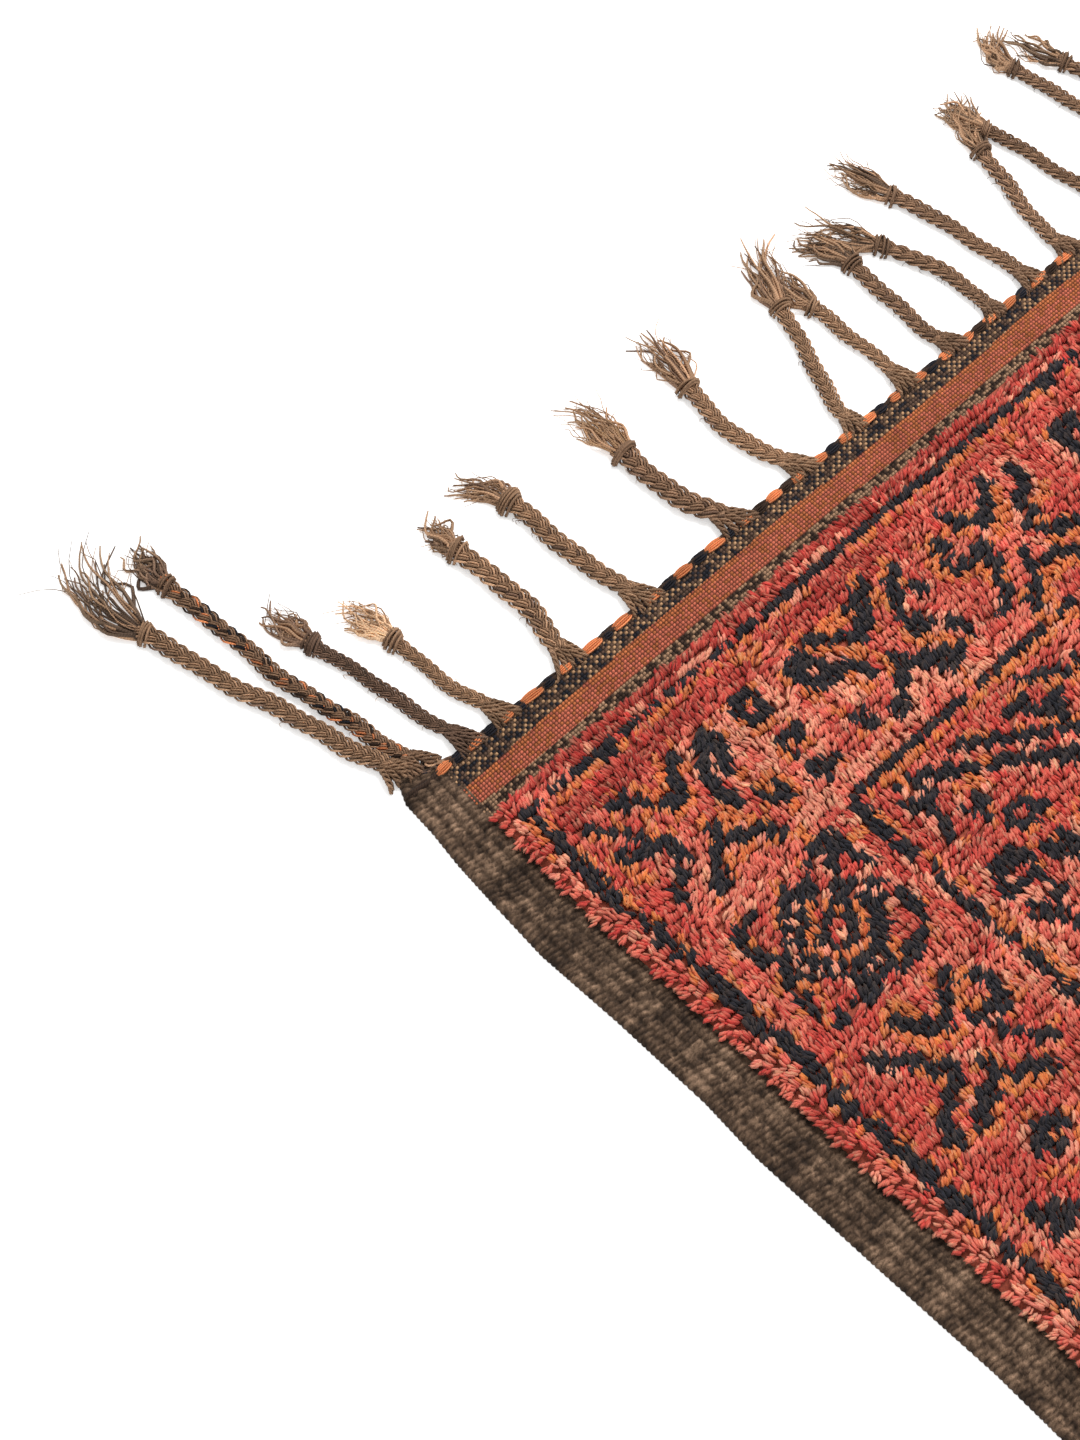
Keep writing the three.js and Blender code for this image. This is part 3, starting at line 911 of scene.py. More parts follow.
    def _ground(self, across: np.ndarray, down: np.ndarray, side: np.ndarray, end: np.ndarray,
                chance: np.ndarray) -> np.ndarray:
        """Dyes of the plain pile, from madder to salmon with some orange.

        Args:
            across: places across.
            down: places down.
            side: distances from the nearer side.
            end: distances from the nearer end.
            chance: one chance value for each place.

        Returns:
            Indices into the table of dyes.
        """
        row = np.floor(down / 7.4)
        heat = 0.52 + 0.42 * (self.mottle.at(across, down) - 0.5)
        heat += 0.30 * (self.warm.at(across, down) - 0.5)
        heat += 0.22 * (self.batch.at(row * 7.3, np.floor(across / 90) * 3.1) - 0.5)
        heat += 0.34 * (chance - 0.5)
        for blush in self.blushes:
            heat += blush.at(side, end)
        picks = np.full(across.shape, DYE_INDEX[Dye.SALMON])
        for least, dye in self.heats:
            picks[heat > least] = DYE_INDEX[dye]
        gold = self.gold.at(across + 300, down) + 0.18 * (chance - 0.5)
        picks[(gold > self.gold_least) & (side > 70) & (end > 66)] = DYE_INDEX[Dye.ORANGE]
        return picks

    def _frames(self, picks: np.ndarray, x: np.ndarray, side: np.ndarray, end: np.ndarray,
                chance: np.ndarray, bold: float) -> None:
        """Draws the outer and the inner frame line with their light and orange edges.

        Args:
            picks: the dyes so far, changed in place.
            x: places across, strayed a little.
            side: distances from the nearer side.
            end: distances from the nearer end.
            chance: four chance values for each place.
            bold: how much thicker than charted the lines are.
        """
        to_side = side - (self.line_side + 4.0 * np.clip((end - 130) / 200, -0.7, 1))
        to_end = end - (self.line_end - 2.4 * np.sin(np.clip(side - 260, 0, 400) / 90))
        outer = np.minimum(to_side, to_end)
        along_side = to_side < to_end
        half = np.where(along_side, self.line_half, self.line_half - 1.2) * bold ** 0.5
        picks[(outer > -half - 6) & (outer <= -half) & (chance[1] < 0.3)] = DYE_INDEX[Dye.SALMON]
        rim = (outer > -half - 5) & (outer <= -half) & along_side
        picks[rim & (chance[2] < 0.4)] = DYE_INDEX[Dye.ORANGE]
        picks[(outer >= half) & (outer < half + 6) & (chance[2] < 0.62)] = DYE_INDEX[Dye.ORANGE]
        dotted = ~along_side & (side < self.dot_reach) & (np.mod(side, self.dot_pitch) > 7.5)
        picks[(np.abs(outer) < half) & ~dotted] = DYE_INDEX[Dye.INDIGO]
        in_side, in_end = side - self.inner_side, end - self.inner_end
        inner = np.minimum(in_side, in_end)
        by_side = in_side < in_end
        half = np.where(by_side, 4.6, 3.6) * bold
        picks[(inner > -half - 5) & (inner <= -half) & (chance[1] < 0.6)] = DYE_INDEX[Dye.SALMON]
        reach = np.where(by_side, 7.0, 6.0)
        picks[(inner >= half) & (inner < half + reach) & (chance[2] < 0.66)] = DYE_INDEX[Dye.ORANGE]
        broken = self.stray.at(x * 1.7, end * 1.7) > 0.80
        picks[(np.abs(inner) < half) & ~broken] = DYE_INDEX[Dye.INDIGO]

    def _zigzag(self, picks: np.ndarray, side: np.ndarray, end: np.ndarray,
                chance: np.ndarray, bold: float) -> None:
        """Draws the field's chain of lozenges in double lines.

        Args:
            picks: the dyes so far, changed in place.
            side: distances from the nearer side.
            end: distances from the nearer end.
            chance: four chance values for each place.
            bold: how much thicker than charted the lines are.
        """
        inside = (side > self.inner_side + 26) & (end > self.inner_end + 14)
        slope = self.zigzag_reach / self.zigzag_rise
        away = ((PLAN.width / 2 - side) - self._edge(end)) / math.hypot(1, slope)
        for centre, half, dye, share in (
            (-10.5, 5.0, Dye.SALMON, 0.4), (0.0, 5.8, Dye.INDIGO, 1.0), (7.5, 2.8, Dye.SALMON, 0.6),
            (-self.zigzag_gap, 5.6, Dye.INDIGO, 1.0), (-self.zigzag_gap - 7, 2.8, Dye.ORANGE, 0.6),
            (-58.0, 3.6, Dye.ORANGE, 0.8), (-66.0, 4.8, Dye.INDIGO, 1.0), (-140.0, 4.8, Dye.INDIGO, 1.0),
            (-148.0, 3.6, Dye.SALMON, 0.8),
        ):
            near = inside & (np.abs(away - centre) < half * bold) & (chance[1] < share)
            picks[near] = DYE_INDEX[dye]

    def _figure(self, picks: np.ndarray, spot: Spot, side: np.ndarray, end: np.ndarray,
                gold: np.ndarray, chance: np.ndarray) -> None:
        """Draws one figure, with a lighter or orange rim around its indigo.

        Args:
            picks: the dyes so far, changed in place.
            spot: the figure and its place.
            side: distances from the nearer side.
            end: distances from the nearer end.
            gold: noise that says where the rim is orange.
            chance: one chance value for each place.
        """
        near = (np.abs(side - spot.across) < 78) & (np.abs(end - spot.down) < 66)
        if not near.any():
            return
        x = (side[near] - spot.across) / spot.wide
        y = (end[near] - spot.down) / spot.tall
        part = picks[near]
        drawn = FIGURES[spot.motif]
        dark = np.min([s.distance(x, y) for s in drawn if s.dye is Dye.INDIGO], axis=0)
        rim = (dark > 0) & (dark < 5.0) & (chance[near] < 0.5)
        for stroke in drawn:
            if stroke.dye is Dye.CORAL:
                part[(stroke.distance(x, y) < 0) & (chance[near] < 0.7)] = DYE_INDEX[stroke.dye]
        part[rim & (gold[near] > 0.45)] = DYE_INDEX[Dye.ORANGE]
        part[rim & (gold[near] <= 0.45)] = DYE_INDEX[Dye.SALMON]
        for stroke in drawn:
            if stroke.dye is not Dye.CORAL or stroke.thick < 8:
                part[stroke.distance(x, y) < 0] = DYE_INDEX[stroke.dye]
        picks[near] = part


@dataclass(frozen=True)
class LockForm:
    """How one kind of lock stands.

    Its stations hold reach, height, bow and width as shares, and its roots the places around the
    knot's own, across and down.
    """

    stations: tuple[tuple[float, float, float, float], ...]
    half: float
    flat: float
    roots: tuple[tuple[float, float], ...]
    tint: float
    pale: float


STRAND = LockForm(((0.0, 0.0, 0.0, 0.0), (0.24, 0.84, 0.6, 1.0), (0.72, 1.0, 1.0, 0.86),
                   (1.0, 0.74, 0.3, 0.0)),
                  1.72, 0.80, ((-2.2, 0.7), (-1.1, -0.9), (0.0, 0.9), (1.1, -0.7), (2.2, 0.6)), 0.08, 0.60)
BROAD = LockForm(((-0.25, 0.0, 0.0, 0.0), (0.45, 1.0, 0.3, 1.0), (1.25, 0.5, 0.0, 0.0)),
                 6.4, 0.42, ((0.0, 0.0),), 0.13, 0.6)


@dataclass
class Pile:
    """The knotted pile: fine locks over the corner that lies nearest, broad ones elsewhere."""

    chart: KnotChart = field(default_factory=KnotChart)
    knot: float = 5.5
    row: float = 7.4
    fine_across: float = 735.0
    fine_down: float = 640.0
    margin: float = 3.0
    end_margin: float = 9.4
    root: float = 5.4
    top: float = 10.0
    lean: float = 9.2
    shown: tuple[float, float] = (4.0, -4.2)
    broad_knot: float = 9.4
    broad_row: float = 8.4
    seed: int = 21
    sway: Mottle = field(default_factory=lambda: Mottle(30.0, 22))
    swell: Mottle = field(default_factory=lambda: Mottle(85.0, 23))
    clump: Mottle = field(default_factory=lambda: Mottle(11.0, 24))

    def build(self, finish: bpy.types.Material) -> list[bpy.types.Object]:
        """Makes the pile in pieces that are small enough.

        Args:
            finish: the pile's material.

        Returns:
            The pieces.
        """
        made = self._pieces("pile_fine", self.knot, self.row, STRAND, finish)
        return made + self._pieces("pile_broad", self.broad_knot, self.broad_row, BROAD, finish)

    def _pieces(self, name: str, step: float, row: float, form: LockForm,
                finish: bpy.types.Material) -> list[bpy.types.Object]:
        """Knots one part of the pile and cuts it into pieces.

        Args:
            name: what the pieces' names start with.
            step: distance between knots along a row.
            row: distance between rows.
            form: the kind of lock.
            finish: the pile's material.

        Returns:
            The pieces.
        """
        across, down = self._grid(step, row)
        if form is BROAD:
            across = across + 0.25 * step * np.where(np.round(down / row) % 2 == 0, 1, -1)
        keep = self._in_corner(across, down) == (form is not BROAD)
        across, down = across[keep], down[keep]
        rng = np.random.default_rng(self.seed + (form is not BROAD))
        across = across + rng.normal(0, 0.5, across.size)
        down = down + rng.normal(0, 0.5, down.size)
        ways = self._ways(across, down, rng)
        reach = self.lean * (0.85 + 0.3 * rng.random(across.size))
        reach *= 1 - 0.25 * np.exp(-np.clip(PLAN.from_side(across) - 46, 0, 200) / 8)
        dyes = self.chart.dyes(across + self.shown[0] + ways[:, 0] * reach * 0.5,
                               down + self.shown[1] + ways[:, 1] * reach * 0.5, self.seed + 2,
                               1.0 if form is STRAND else 1.25)
        tone = rng.normal(0, 0.06, dyes.size)
        tall = self.top + 1.5 * (self.swell.at(across, down) - 0.5)
        tall += 2.0 * (self.clump.at(across, down) - 0.5) + rng.normal(0, 0.35, dyes.size)
        edge = np.minimum(PLAN.from_side(across) - PLAN.selvedge, PLAN.from_end(down) - PLAN.band)
        tall = self.root + (tall - self.root) * np.clip(0.72 + edge / 28, 0.72, 1)
        number = len(form.roots)
        knots = np.column_stack([across, down, ways, reach, tall, tone, dyes]).repeat(number, axis=0)
        knots[:, :2] += np.tile(form.roots, (dyes.size, 1))
        count = math.ceil(len(knots) * (12 if form is STRAND else 6) / MOST_TRIANGLES)
        made = []
        for k, part in enumerate(np.array_split(knots, count)):
            piece = self._locks(f"{name}_{k + 1}", part, form, self.seed + 10 * k + number)
            made.append(piece.build(finish, CLOTH_SLOT))
        return made

    def _in_corner(self, across: np.ndarray, down: np.ndarray) -> np.ndarray:
        """Says which places lie in the corner that gets fine locks."""
        return across / self.fine_across + down / self.fine_down < 1

    def _grid(self, step: float, row: float) -> tuple[np.ndarray, np.ndarray]:
        """Lays out knots in rows over the whole pile.

        Args:
            step: distance between knots along a row.
            row: distance between rows.

        Returns:
            Their places across and down, row by row.
        """
        start = PLAN.selvedge + self.margin
        columns = int((PLAN.width - 2 * start) / step)
        first = PLAN.band + self.end_margin
        rows = int((PLAN.length - 2 * first) / row)
        across = start + (np.arange(columns) + 0.5) * (PLAN.width - 2 * start) / columns
        down = first + (np.arange(rows) + 0.5) * (PLAN.length - 2 * first) / rows
        grid = np.meshgrid(across, down)
        return grid[0].ravel(), grid[1].ravel()

    def _lean(self, across: np.ndarray, down: np.ndarray) -> np.ndarray:
        """Finds which way the pile leans: mostly to the braided end, and outward near the sides.

        Args:
            across: places across.
            down: places down.

        Returns:
            Unit pairs of across and down.
        """
        left = np.exp(-np.clip(across - 45, 0, 400) / 6)
        right = np.exp(-np.clip(PLAN.width - 45 - across, 0, 400) / 6)
        far = np.exp(-np.clip(PLAN.length - 50 - down, 0, 400) / 12)
        x = 0.40 - 1.5 * left + 0.8 * right
        y = -0.92 + 2.0 * far + 0.75 * left
        size = np.hypot(x, y)
        return np.stack([x / size, y / size], axis=-1)

    def _ways(self, across: np.ndarray, down: np.ndarray, rng: np.random.Generator) -> np.ndarray:
        """Turns the lean by a little chance for each lock.

        Args:
            across: where the locks are rooted, across.
            down: where they are rooted, down.
            rng: source of chance.

        Returns:
            Unit pairs of across and down.
        """
        x, y = self._lean(across, down).T
        turn = 1.2 * (self.sway.at(across, down) - 0.5) + rng.normal(0, 0.26, across.size)
        return np.stack([x * np.cos(turn) - y * np.sin(turn), x * np.sin(turn) + y * np.cos(turn)], axis=-1)

    def _locks(self, name: str, knots: np.ndarray, form: LockForm, seed: int) -> MeshPiece:
        """Shapes and dyes a set of locks.

        Args:
            name: the piece's name.
            knots: for each lock its root's place and its knot's way, reach, height, tone and dye.
            form: the kind of lock.
            seed: number that fixes the chance picks.

        Returns:
            The piece.
        """
        rng = np.random.default_rng(seed)
        count = len(knots)
        jitter = rng.normal(0, 1, (6, count))
        across, down = knots[:, 0] + 0.35 * jitter[0], knots[:, 1] + 0.45 * jitter[1]
        veer = 0.12 * jitter[2]
        way_x, way_y = knots[:, 2] - veer * knots[:, 3], knots[:, 3] + veer * knots[:, 2]
        reach = knots[:, 4] * (1 + 0.12 * jitter[3])
        tall, bow = knots[:, 5] + 0.4 * jitter[4], 1.1 * jitter[5]
        paths = np.stack([
            PLAN.place(across + way_x * reach * s - way_y * bow * b,
                       down + way_y * reach * s + way_x * bow * b,
                       self.root + (tall - self.root) * h)
            for s, h, b, _ in form.stations
        ], axis=1)
        half = form.half * (0.72 + 0.56 * rng.random(count)) * MM
        wide = half[:, None] * np.array([w for *_, w in form.stations])
        sideways = np.stack([way_y, way_x, np.zeros(count)], axis=-1)
        dyes = self._tones(knots[:, 7].astype(int), knots[:, 6], form, rng)
        return Tubes(3, True, True).mesh(name, paths, wide, wide * form.flat, dyes, sideways)

    def _tones(self, picks: np.ndarray, tone: np.ndarray, form: LockForm,
               rng: np.random.Generator) -> np.ndarray:
        """Turns dyes into colours with painted shade that darkens them toward the root, and a faded tip.

        Args:
            picks: indices into the table of dyes.
            tone: how much lighter or darker each knot is.
            form: the kind of lock.
            rng: source of chance.

        Returns:
            Linear colours, locks by stations by three.
        """
        count = len(picks)
        base = DYE_TABLE[picks] * np.exp(tone + rng.normal(0, form.tint, count))[:, None]
        dark = (picks == DYE_INDEX[Dye.INDIGO])[:, None]
        base = base * np.exp(np.where(dark, 0, rng.normal(0, 0.14, (count, 1))) * np.array([0.1, 1.0, 0.6]))
        fade = form.pale * rng.random((count, 1)) ** 1.7
        pale = np.where(rng.random((count, 1)) < 0.5, Dye.SALMON.linear, Dye.BLOND.linear * 0.8)
        tip = base * (1 - fade) + np.where(dark, Dye.SMOKE.linear, pale) * fade
        along = [s for s, *_ in form.stations]
        # painted shade: each station is darkened the nearer it lies to the root, deep in the pile
        share = np.interp(along, [0, 0.3, 0.7], [0.74, 0.94, 1.02])
        # painted shade: the root's colour, darker and redder than the dye
        root = base * np.array([0.92, 0.72, 0.68])
        low = np.interp(along, [0, 0.24], [0.6, 1.0])[None, :, None]
        high = np.interp(along, [0.1, 0.8], [0.0, 1.0])[None, :, None]
        tones = root[:, None] * (1 - low) + base[:, None] * (low - low * high) + tip[:, None] * low * high
        return np.clip(tones * share[None, :, None] ** 0.6, 0, 1)


@dataclass
class Ground:
    """The woven ground that carries the pile and runs under the bands and selvedges."""

    pitch: float = 22.0
    top: float = 5.8
    edge_top: float = 2.4
    under: float = 0.2

    def build(self, finish: bpy.types.Material) -> bpy.types.Object:
        """Makes the ground as one thin closed sheet.

        Args:
            finish: its material.

        Returns:
            The sheet.
        """
        across = self._lines(1.0, PLAN.width, PLAN.selvedge)
        down = self._lines(0.5, PLAN.length, PLAN.band)
        x, y = np.meshgrid(across, down)
        edge = np.minimum(PLAN.from_side(x), PLAN.from_end(y))
        up = np.where(edge > PLAN.band + 5, self.top, self.edge_top)
        tone = 0.8 + 0.4 * Mottle(60.0, 31).at(x, y)
        # painted shade: past the fine corner the ground is darkened to stand for the shadow in the gaps
        # between the broad locks
        tone = tone * np.interp(x / Pile.fine_across + y / Pile.fine_down, [0.97, 1.03], [1.0, 0.55])
        dyes = Dye.GROUND.linear * tone[..., None]
        return relief("woven_ground", PLAN.place(x, y, up), self.under * MM, dyes).build(finish, CLOTH_SLOT)

    def _lines(self, start: float, size: float, border: float) -> np.ndarray:
        """Spaces the grid's lines, with a step in height just inside the border.

        Args:
            start: the first line's distance from the edge.
            size: the sheet's size that way.
            border: how wide the border is.

        Returns:
            The lines' places.
        """
        inner = np.linspace(border + 7, size - border - 7, round(size / self.pitch))
        outer = np.array([start, border / 2, border + 3.5])
        return np.concatenate([outer, inner, (size - outer)[::-1]])


@dataclass(frozen=True)
class BandStripe:
    """One stripe of the woven band: where it ends, its dyes and how often the second shows."""

    until: float
    main: Dye
    second: Dye
    share: float


@dataclass
class WovenBand:
    """The flat-woven band along an end, with a bead of yarn over each warp."""

    name: str
    from_far_end: bool
    fine_until: float
    warp: float = 3.0
    weft: float = 2.75
    base: float = 2.8
    bead: float = 1.3
    run_under: float = 10.0
    inset: float = 38.0
    under: float = 0.6
    keys: tuple[float, float, float] = (12.9898, 78.233, 43758.5453)
    stripes: tuple[BandStripe, ...] = (
        BandStripe(15.6, Dye.INDIGO, Dye.TAN, 0.0),
        BandStripe(20.5, Dye.BAND_ORANGE, Dye.DUSTY_RED, 0.18),
        BandStripe(37.0, Dye.DUSTY_RED, Dye.BAND_ORANGE, 0.32),
        BandStripe(60.0, Dye.BAND_DARK, Dye.BROWN, 0.56),
    )
    waver: Mottle = field(default_factory=lambda: Mottle(75.0, 41))
    seed: int = 42

    def build(self, finish: bpy.types.Material) -> list[bpy.types.Object]:
        """Makes the band, fine where it is seen from near and plain past that.

        Args:
            finish: its material.

        Returns:
            The pieces.
        """
        start, stop = self.inset, PLAN.width - self.inset
        made = []
        if self.fine_until > start:
            near = self._stretch(f"{self.name}_near", start, self.fine_until, 3)
            made.append(near.build(finish, CLOTH_SLOT))
            start = self.fine_until
        made.append(self._stretch(f"{self.name}_far", start, stop, 1).build(finish, CLOTH_SLOT))
        return made

    def _stretch(self, name: str, start: float, stop: float, steps: int) -> MeshPiece:
        """Weaves one stretch of the band.

        Args:
            name: the piece's name.
            start: where it starts, across.
            stop: where it ends, across.
            steps: how many steps make up a bead each way.

        Returns:
            The piece.
        """
        warps = round((stop - start) / self.warp)
        wefts = round((PLAN.band + self.run_under) / self.weft)
        across = np.linspace(start, stop, warps * steps + 1)
        inward = np.linspace(0.0, PLAN.band + self.run_under, wefts * steps + 1)
        x, y = np.meshgrid(across, inward)
        i, j = np.meshgrid(np.arange(across.size) / steps, np.arange(inward.size) / steps)
        row = np.floor(j + 0.01).astype(int)
        column = np.floor(i + 0.01).astype(int)
        if steps > 1:
            lift = np.abs(np.sin(math.pi * i) * np.sin(math.pi * j)) ** 0.7
        else:
            lift = np.full(x.shape, 0.45)
        rng = np.random.default_rng(self.seed)
        lift = lift + rng.normal(0, 0.07, x.shape)
        down = PLAN.length - y if self.from_far_end else y
        points = PLAN.place(x, down, self.base + self.bead * lift)
        tones = self._tones(x, y, row, column, np.clip(lift, 0, 1), rng)
        if self.from_far_end:
            points, tones = points[::-1], tones[::-1]
        return relief(name, points, self.under * MM, tones)

    def _tones(self, x: np.ndarray, y: np.ndarray, row: np.ndarray, column: np.ndarray,
               lift: np.ndarray, rng: np.random.Generator) -> np.ndarray:
        """Colours the beads by the stripe that they lie in, with painted shade in the gaps between beads.

        Args:
            x: places across.
            y: distances from the end.
            row: the weft that each place belongs to.
            column: the warp that each place belongs to.
            lift: how high each place stands, from 0 to 1.
            rng: source of chance.

        Returns:
            Linear colours.
        """
        level = y + 3.6 * (self.waver.at(x, 0 * x) - 0.4) * np.clip(1 - np.abs(y - 15) / 30, 0, 1)
        near_side = np.exp(-np.clip(PLAN.from_side(x) - 45, 0, 900) / 70)
        level = level - 5.0 * near_side * np.clip(1 - np.abs(y - 22) / 12, 0, 1)
        die = cell_chance(row, column, self.keys)
        tones = np.zeros(x.shape + (3,))
        start = -10.0
        for stripe in self.stripes:
            inside = (level >= start) & (level < stripe.until)
            second = die < stripe.share
            if stripe.main is Dye.INDIGO:
                second = ((column + row) % 2 == 0) & (die < 0.52)
                tones[inside & (die > 0.58)] = Dye.BAND_DARK.linear * 2.2
                inside &= die <= 0.58
            tones[inside & ~second] = stripe.main.linear
            tones[inside & second] = stripe.second.linear
            start = stripe.until
        # painted shade: low places between the beads are darker and bead tops lighter; the plain stretch's
        # even lift gives it an even mean of this shade
        gain = (0.18 + 1.08 * lift) * (0.80 + 0.42 * die) * np.exp(rng.normal(0, 0.10, x.shape))
        return np.clip(tones * gain[..., None], 0, 1)


@dataclass
class Selvedge:
    """A side selvedge of dark goat hair: wefts that turn round four bundles of warps."""

    name: str
    on_right: bool
    fine_until: float
    ribs: int = 4
    weft: float = 4.15
    base: float = 2.5
    rib_rise: float = 1.3
    weft_rise: float = 1.5
    overlap: float = 2.0
    scallop: float = 0.9
    dark_until: float = 10.0
    neck: float = 27.0
    under: float = 0.3
    keys: tuple[float, float, float] = (39.425, 11.135, 24634.6345)
    batch: Mottle = field(default_factory=lambda: Mottle(24.0, 51))
    cloud: Mottle = field(default_factory=lambda: Mottle(9.0, 52))
    grain: Mottle = field(default_factory=lambda: Mottle(1.7, 53))

    def build(self, finish: bpy.types.Material) -> list[bpy.types.Object]:
        """Makes the selvedge, fine where it is seen from near and plainer past that.

        Args:
            finish: its material.

        Returns:
            The pieces.
        """
        made = []
        start = 0.0
        if self.fine_until > 0:
            piece = self._stretch(f"{self.name}_near", -self.neck, self.fine_until, 5, 32)
            made.append(piece.build(finish, CLOTH_SLOT))
            start = self.fine_until
        piece = self._stretch(f"{self.name}_far", start, PLAN.length, 2, 11)
        made.append(piece.build(finish, CLOTH_SLOT))
        return made

    def _stretch(self, name: str, start: float, stop: float, steps: int, columns: int) -> MeshPiece:
        """Weaves one stretch of the selvedge.

        Args:
            name: the piece's name.
            start: where it starts, down.
            stop: where it ends, down.
            steps: how many steps make up a weft.
            columns: how many steps it has across.

        Returns:
            The piece.
        """
        down = np.linspace(start, stop, round((stop - start) / self.weft) * steps + 1)
        across = np.linspace(0.0, PLAN.selvedge + self.overlap, columns + 1)
        x, y = np.meshgrid(across, down)
        pitch = PLAN.selvedge / self.ribs
        rib = np.floor(x / pitch).astype(int)
        into = x / pitch - rib
        slant = -2.4 * (into - 0.5) + 4.4 * (self.cloud.at(x * 0.5, y * 0.45) - 0.5)
        turn = (y + slant) / self.weft + 0.5 * (rib % 2)
        weft = np.floor(turn).astype(int)
        crown = np.clip(np.sin(math.pi * into), 0, 1) ** 0.8
        crest = np.abs(np.sin(math.pi * turn)) ** 0.8
        rough = self.grain.at(x, y * 1.3)
        up = self.base + self.rib_rise * crown + self.weft_rise * crest * (0.6 + 0.4 * crown)
        up += 1.1 * (rough - 0.5)
        hem = np.clip(x / 2.4, 0, 1)
        if start < 0:
            hem = hem * np.clip((y - start) / 3.0, 0, 1)
        up = 1.2 + (up - 1.2) * np.sqrt(hem * (2 - hem))
        die = cell_chance(rib, weft, self.keys)
        light = 0.17 + 0.58 * self.batch.at(y * 1.5, 0 * y + 3) + 0.40 * (die - 0.5)
        light += 0.5 * (self.cloud.at(x * 1.4 + 90, y * 1.4) - 0.5) + 0.75 * (rough - 0.5)
        # painted shade: darker in the grooves between the ribs and between the wefts
        tones = self._tones(light, (0.35 + 0.65 * crown) * crest) * (0.66 + 0.42 * crown)[..., None]
        if not self.on_right:
            dark = np.clip((self.dark_until - y) / 4, 0, 1)[..., None]
            tones = tones * (1 - 0.55 * dark)
        past = np.clip(-y / self.neck, 0, 1)
        edge = (x - self.scallop * crest * (1 - hem)) * (1 - 0.42 * past) + 13.0 * past
        y = np.where(y < 0, y * (1 - 0.5 * x / PLAN.selvedge), y)
        if self.on_right:
            points = PLAN.place(PLAN.width - edge, y, up)[:, ::-1]
            tones = tones[:, ::-1]
        else:
            points = PLAN.place(edge, y, up)
        return relief(name, points, self.under * MM, tones)

    def _tones(self, light: np.ndarray, crest: np.ndarray) -> np.ndarray:
        """Mixes the goat hair's browns and darkens the low places with painted shade.

        Args:
            light: how light each place is, around 0 to 1.
            crest: how high each place stands, from 0 to 1.

        Returns:
            Linear colours.
        """
        dark, mid, pale = (d.linear for d in (Dye.GOAT_DARK, Dye.GOAT, Dye.GOAT_LIGHT))
        low = np.clip(light * 2, 0, 1)[..., None]
        high = np.clip(light * 2 - 1, 0, 1)[..., None]
        tones = dark * (1 - low) + mid * low
        tones = tones * (1 - high) + pale * high
        # painted shade: darker where the place stands low
        return np.clip(tones * (0.42 + 0.66 * crest)[..., None], 0, 1)


@dataclass(frozen=True)
class YarnMix:
    """The yarns of one braid: the main dye, the odd dyes and their share, and the tuft's two dyes."""

    main: Dye
    odd: tuple[Dye, ...]
    share: float
    tuft: Dye
    tuft_odd: Dye


class BraidYarn(Enum):
    """The kinds of yarn that braids are plaited from."""

    BROWN = YarnMix(Dye.BROWN, (Dye.DARK_BROWN,), 0.08, Dye.BROWN, Dye.DARK_BROWN)
    SMOKY = YarnMix(Dye.BROWN, (Dye.DARK_BROWN,), 0.10, Dye.SMOKE, Dye.BROWN)
    DARK = YarnMix(Dye.DARK_BROWN, (Dye.SMOKE,), 0.20, Dye.DARK_BROWN, Dye.BROWN)
    MIXED = YarnMix(Dye.UMBER, (Dye.CORD_ORANGE, Dye.INDIGO, Dye.BAND_DARK), 0.70, Dye.DARK_BROWN, Dye.SMOKE)
    DUSKY = YarnMix(Dye.UMBER, (Dye.DARK_BROWN,), 0.20, Dye.BROWN, Dye.SMOKE)
    WARM = YarnMix(Dye.UMBER, (Dye.DARK_BROWN,), 0.20, Dye.BROWN, Dye.TAN)
    FAIR = YarnMix(Dye.BROWN, (Dye.TAN,), 0.10, Dye.BLOND, Dye.BROWN)


@dataclass(frozen=True)
class BraidRow:
    """One braid: where its root, middle and end lie, its tuft, its width and its yarn."""

    root: float
    mid: float
    mid_out: float
    end: float
    end_out: float
    tuft: float
    drift: float
    width: float
    knot: float
    yarn: BraidYarn = BraidYarn.BROWN
    near: bool = True
    start: float = 4.0

    def point(self, share: np.ndarray) -> np.ndarray:
        """Follows the braid's bend.

        Args:
            share: shares of the way, from 0 at the root to 1 at the end.

        Returns:
            Places across and out, in millimetres.
        """
        start = np.array([self.root, self.start])
        middle = np.array([self.mid, self.mid_out])
        end = np.array([self.end, self.end_out])
        pull = 2 * middle - (start + end) / 2
        s = np.asarray(share)[..., None]
        return start * (1 - s) ** 2 + pull * 2 * s * (1 - s) + end * s ** 2

    def length(self) -> float:
        """Length of the plait, in millimetres."""
        line = self.point(np.linspace(0, 1, 60))
        return float(np.linalg.norm(np.diff(line, axis=0), axis=1).sum())

    def tail(self) -> tuple[np.ndarray, np.ndarray, np.ndarray]:
        """The plait's end, and the ways on from it and to its right."""
        ends, way, right = self.heading(0.97, 1.0)
        return ends[1], way, right

    def heading(self, share: float, ahead: float) -> tuple[np.ndarray, np.ndarray, np.ndarray]:
        """Two places along the plait, and the ways from the first to the second and to its right."""
        ends = self.point(np.array([share, ahead]))
        way = (ends[1] - ends[0]) / np.linalg.norm(ends[1] - ends[0])
        return ends, way, np.array([way[1], -way[0]])


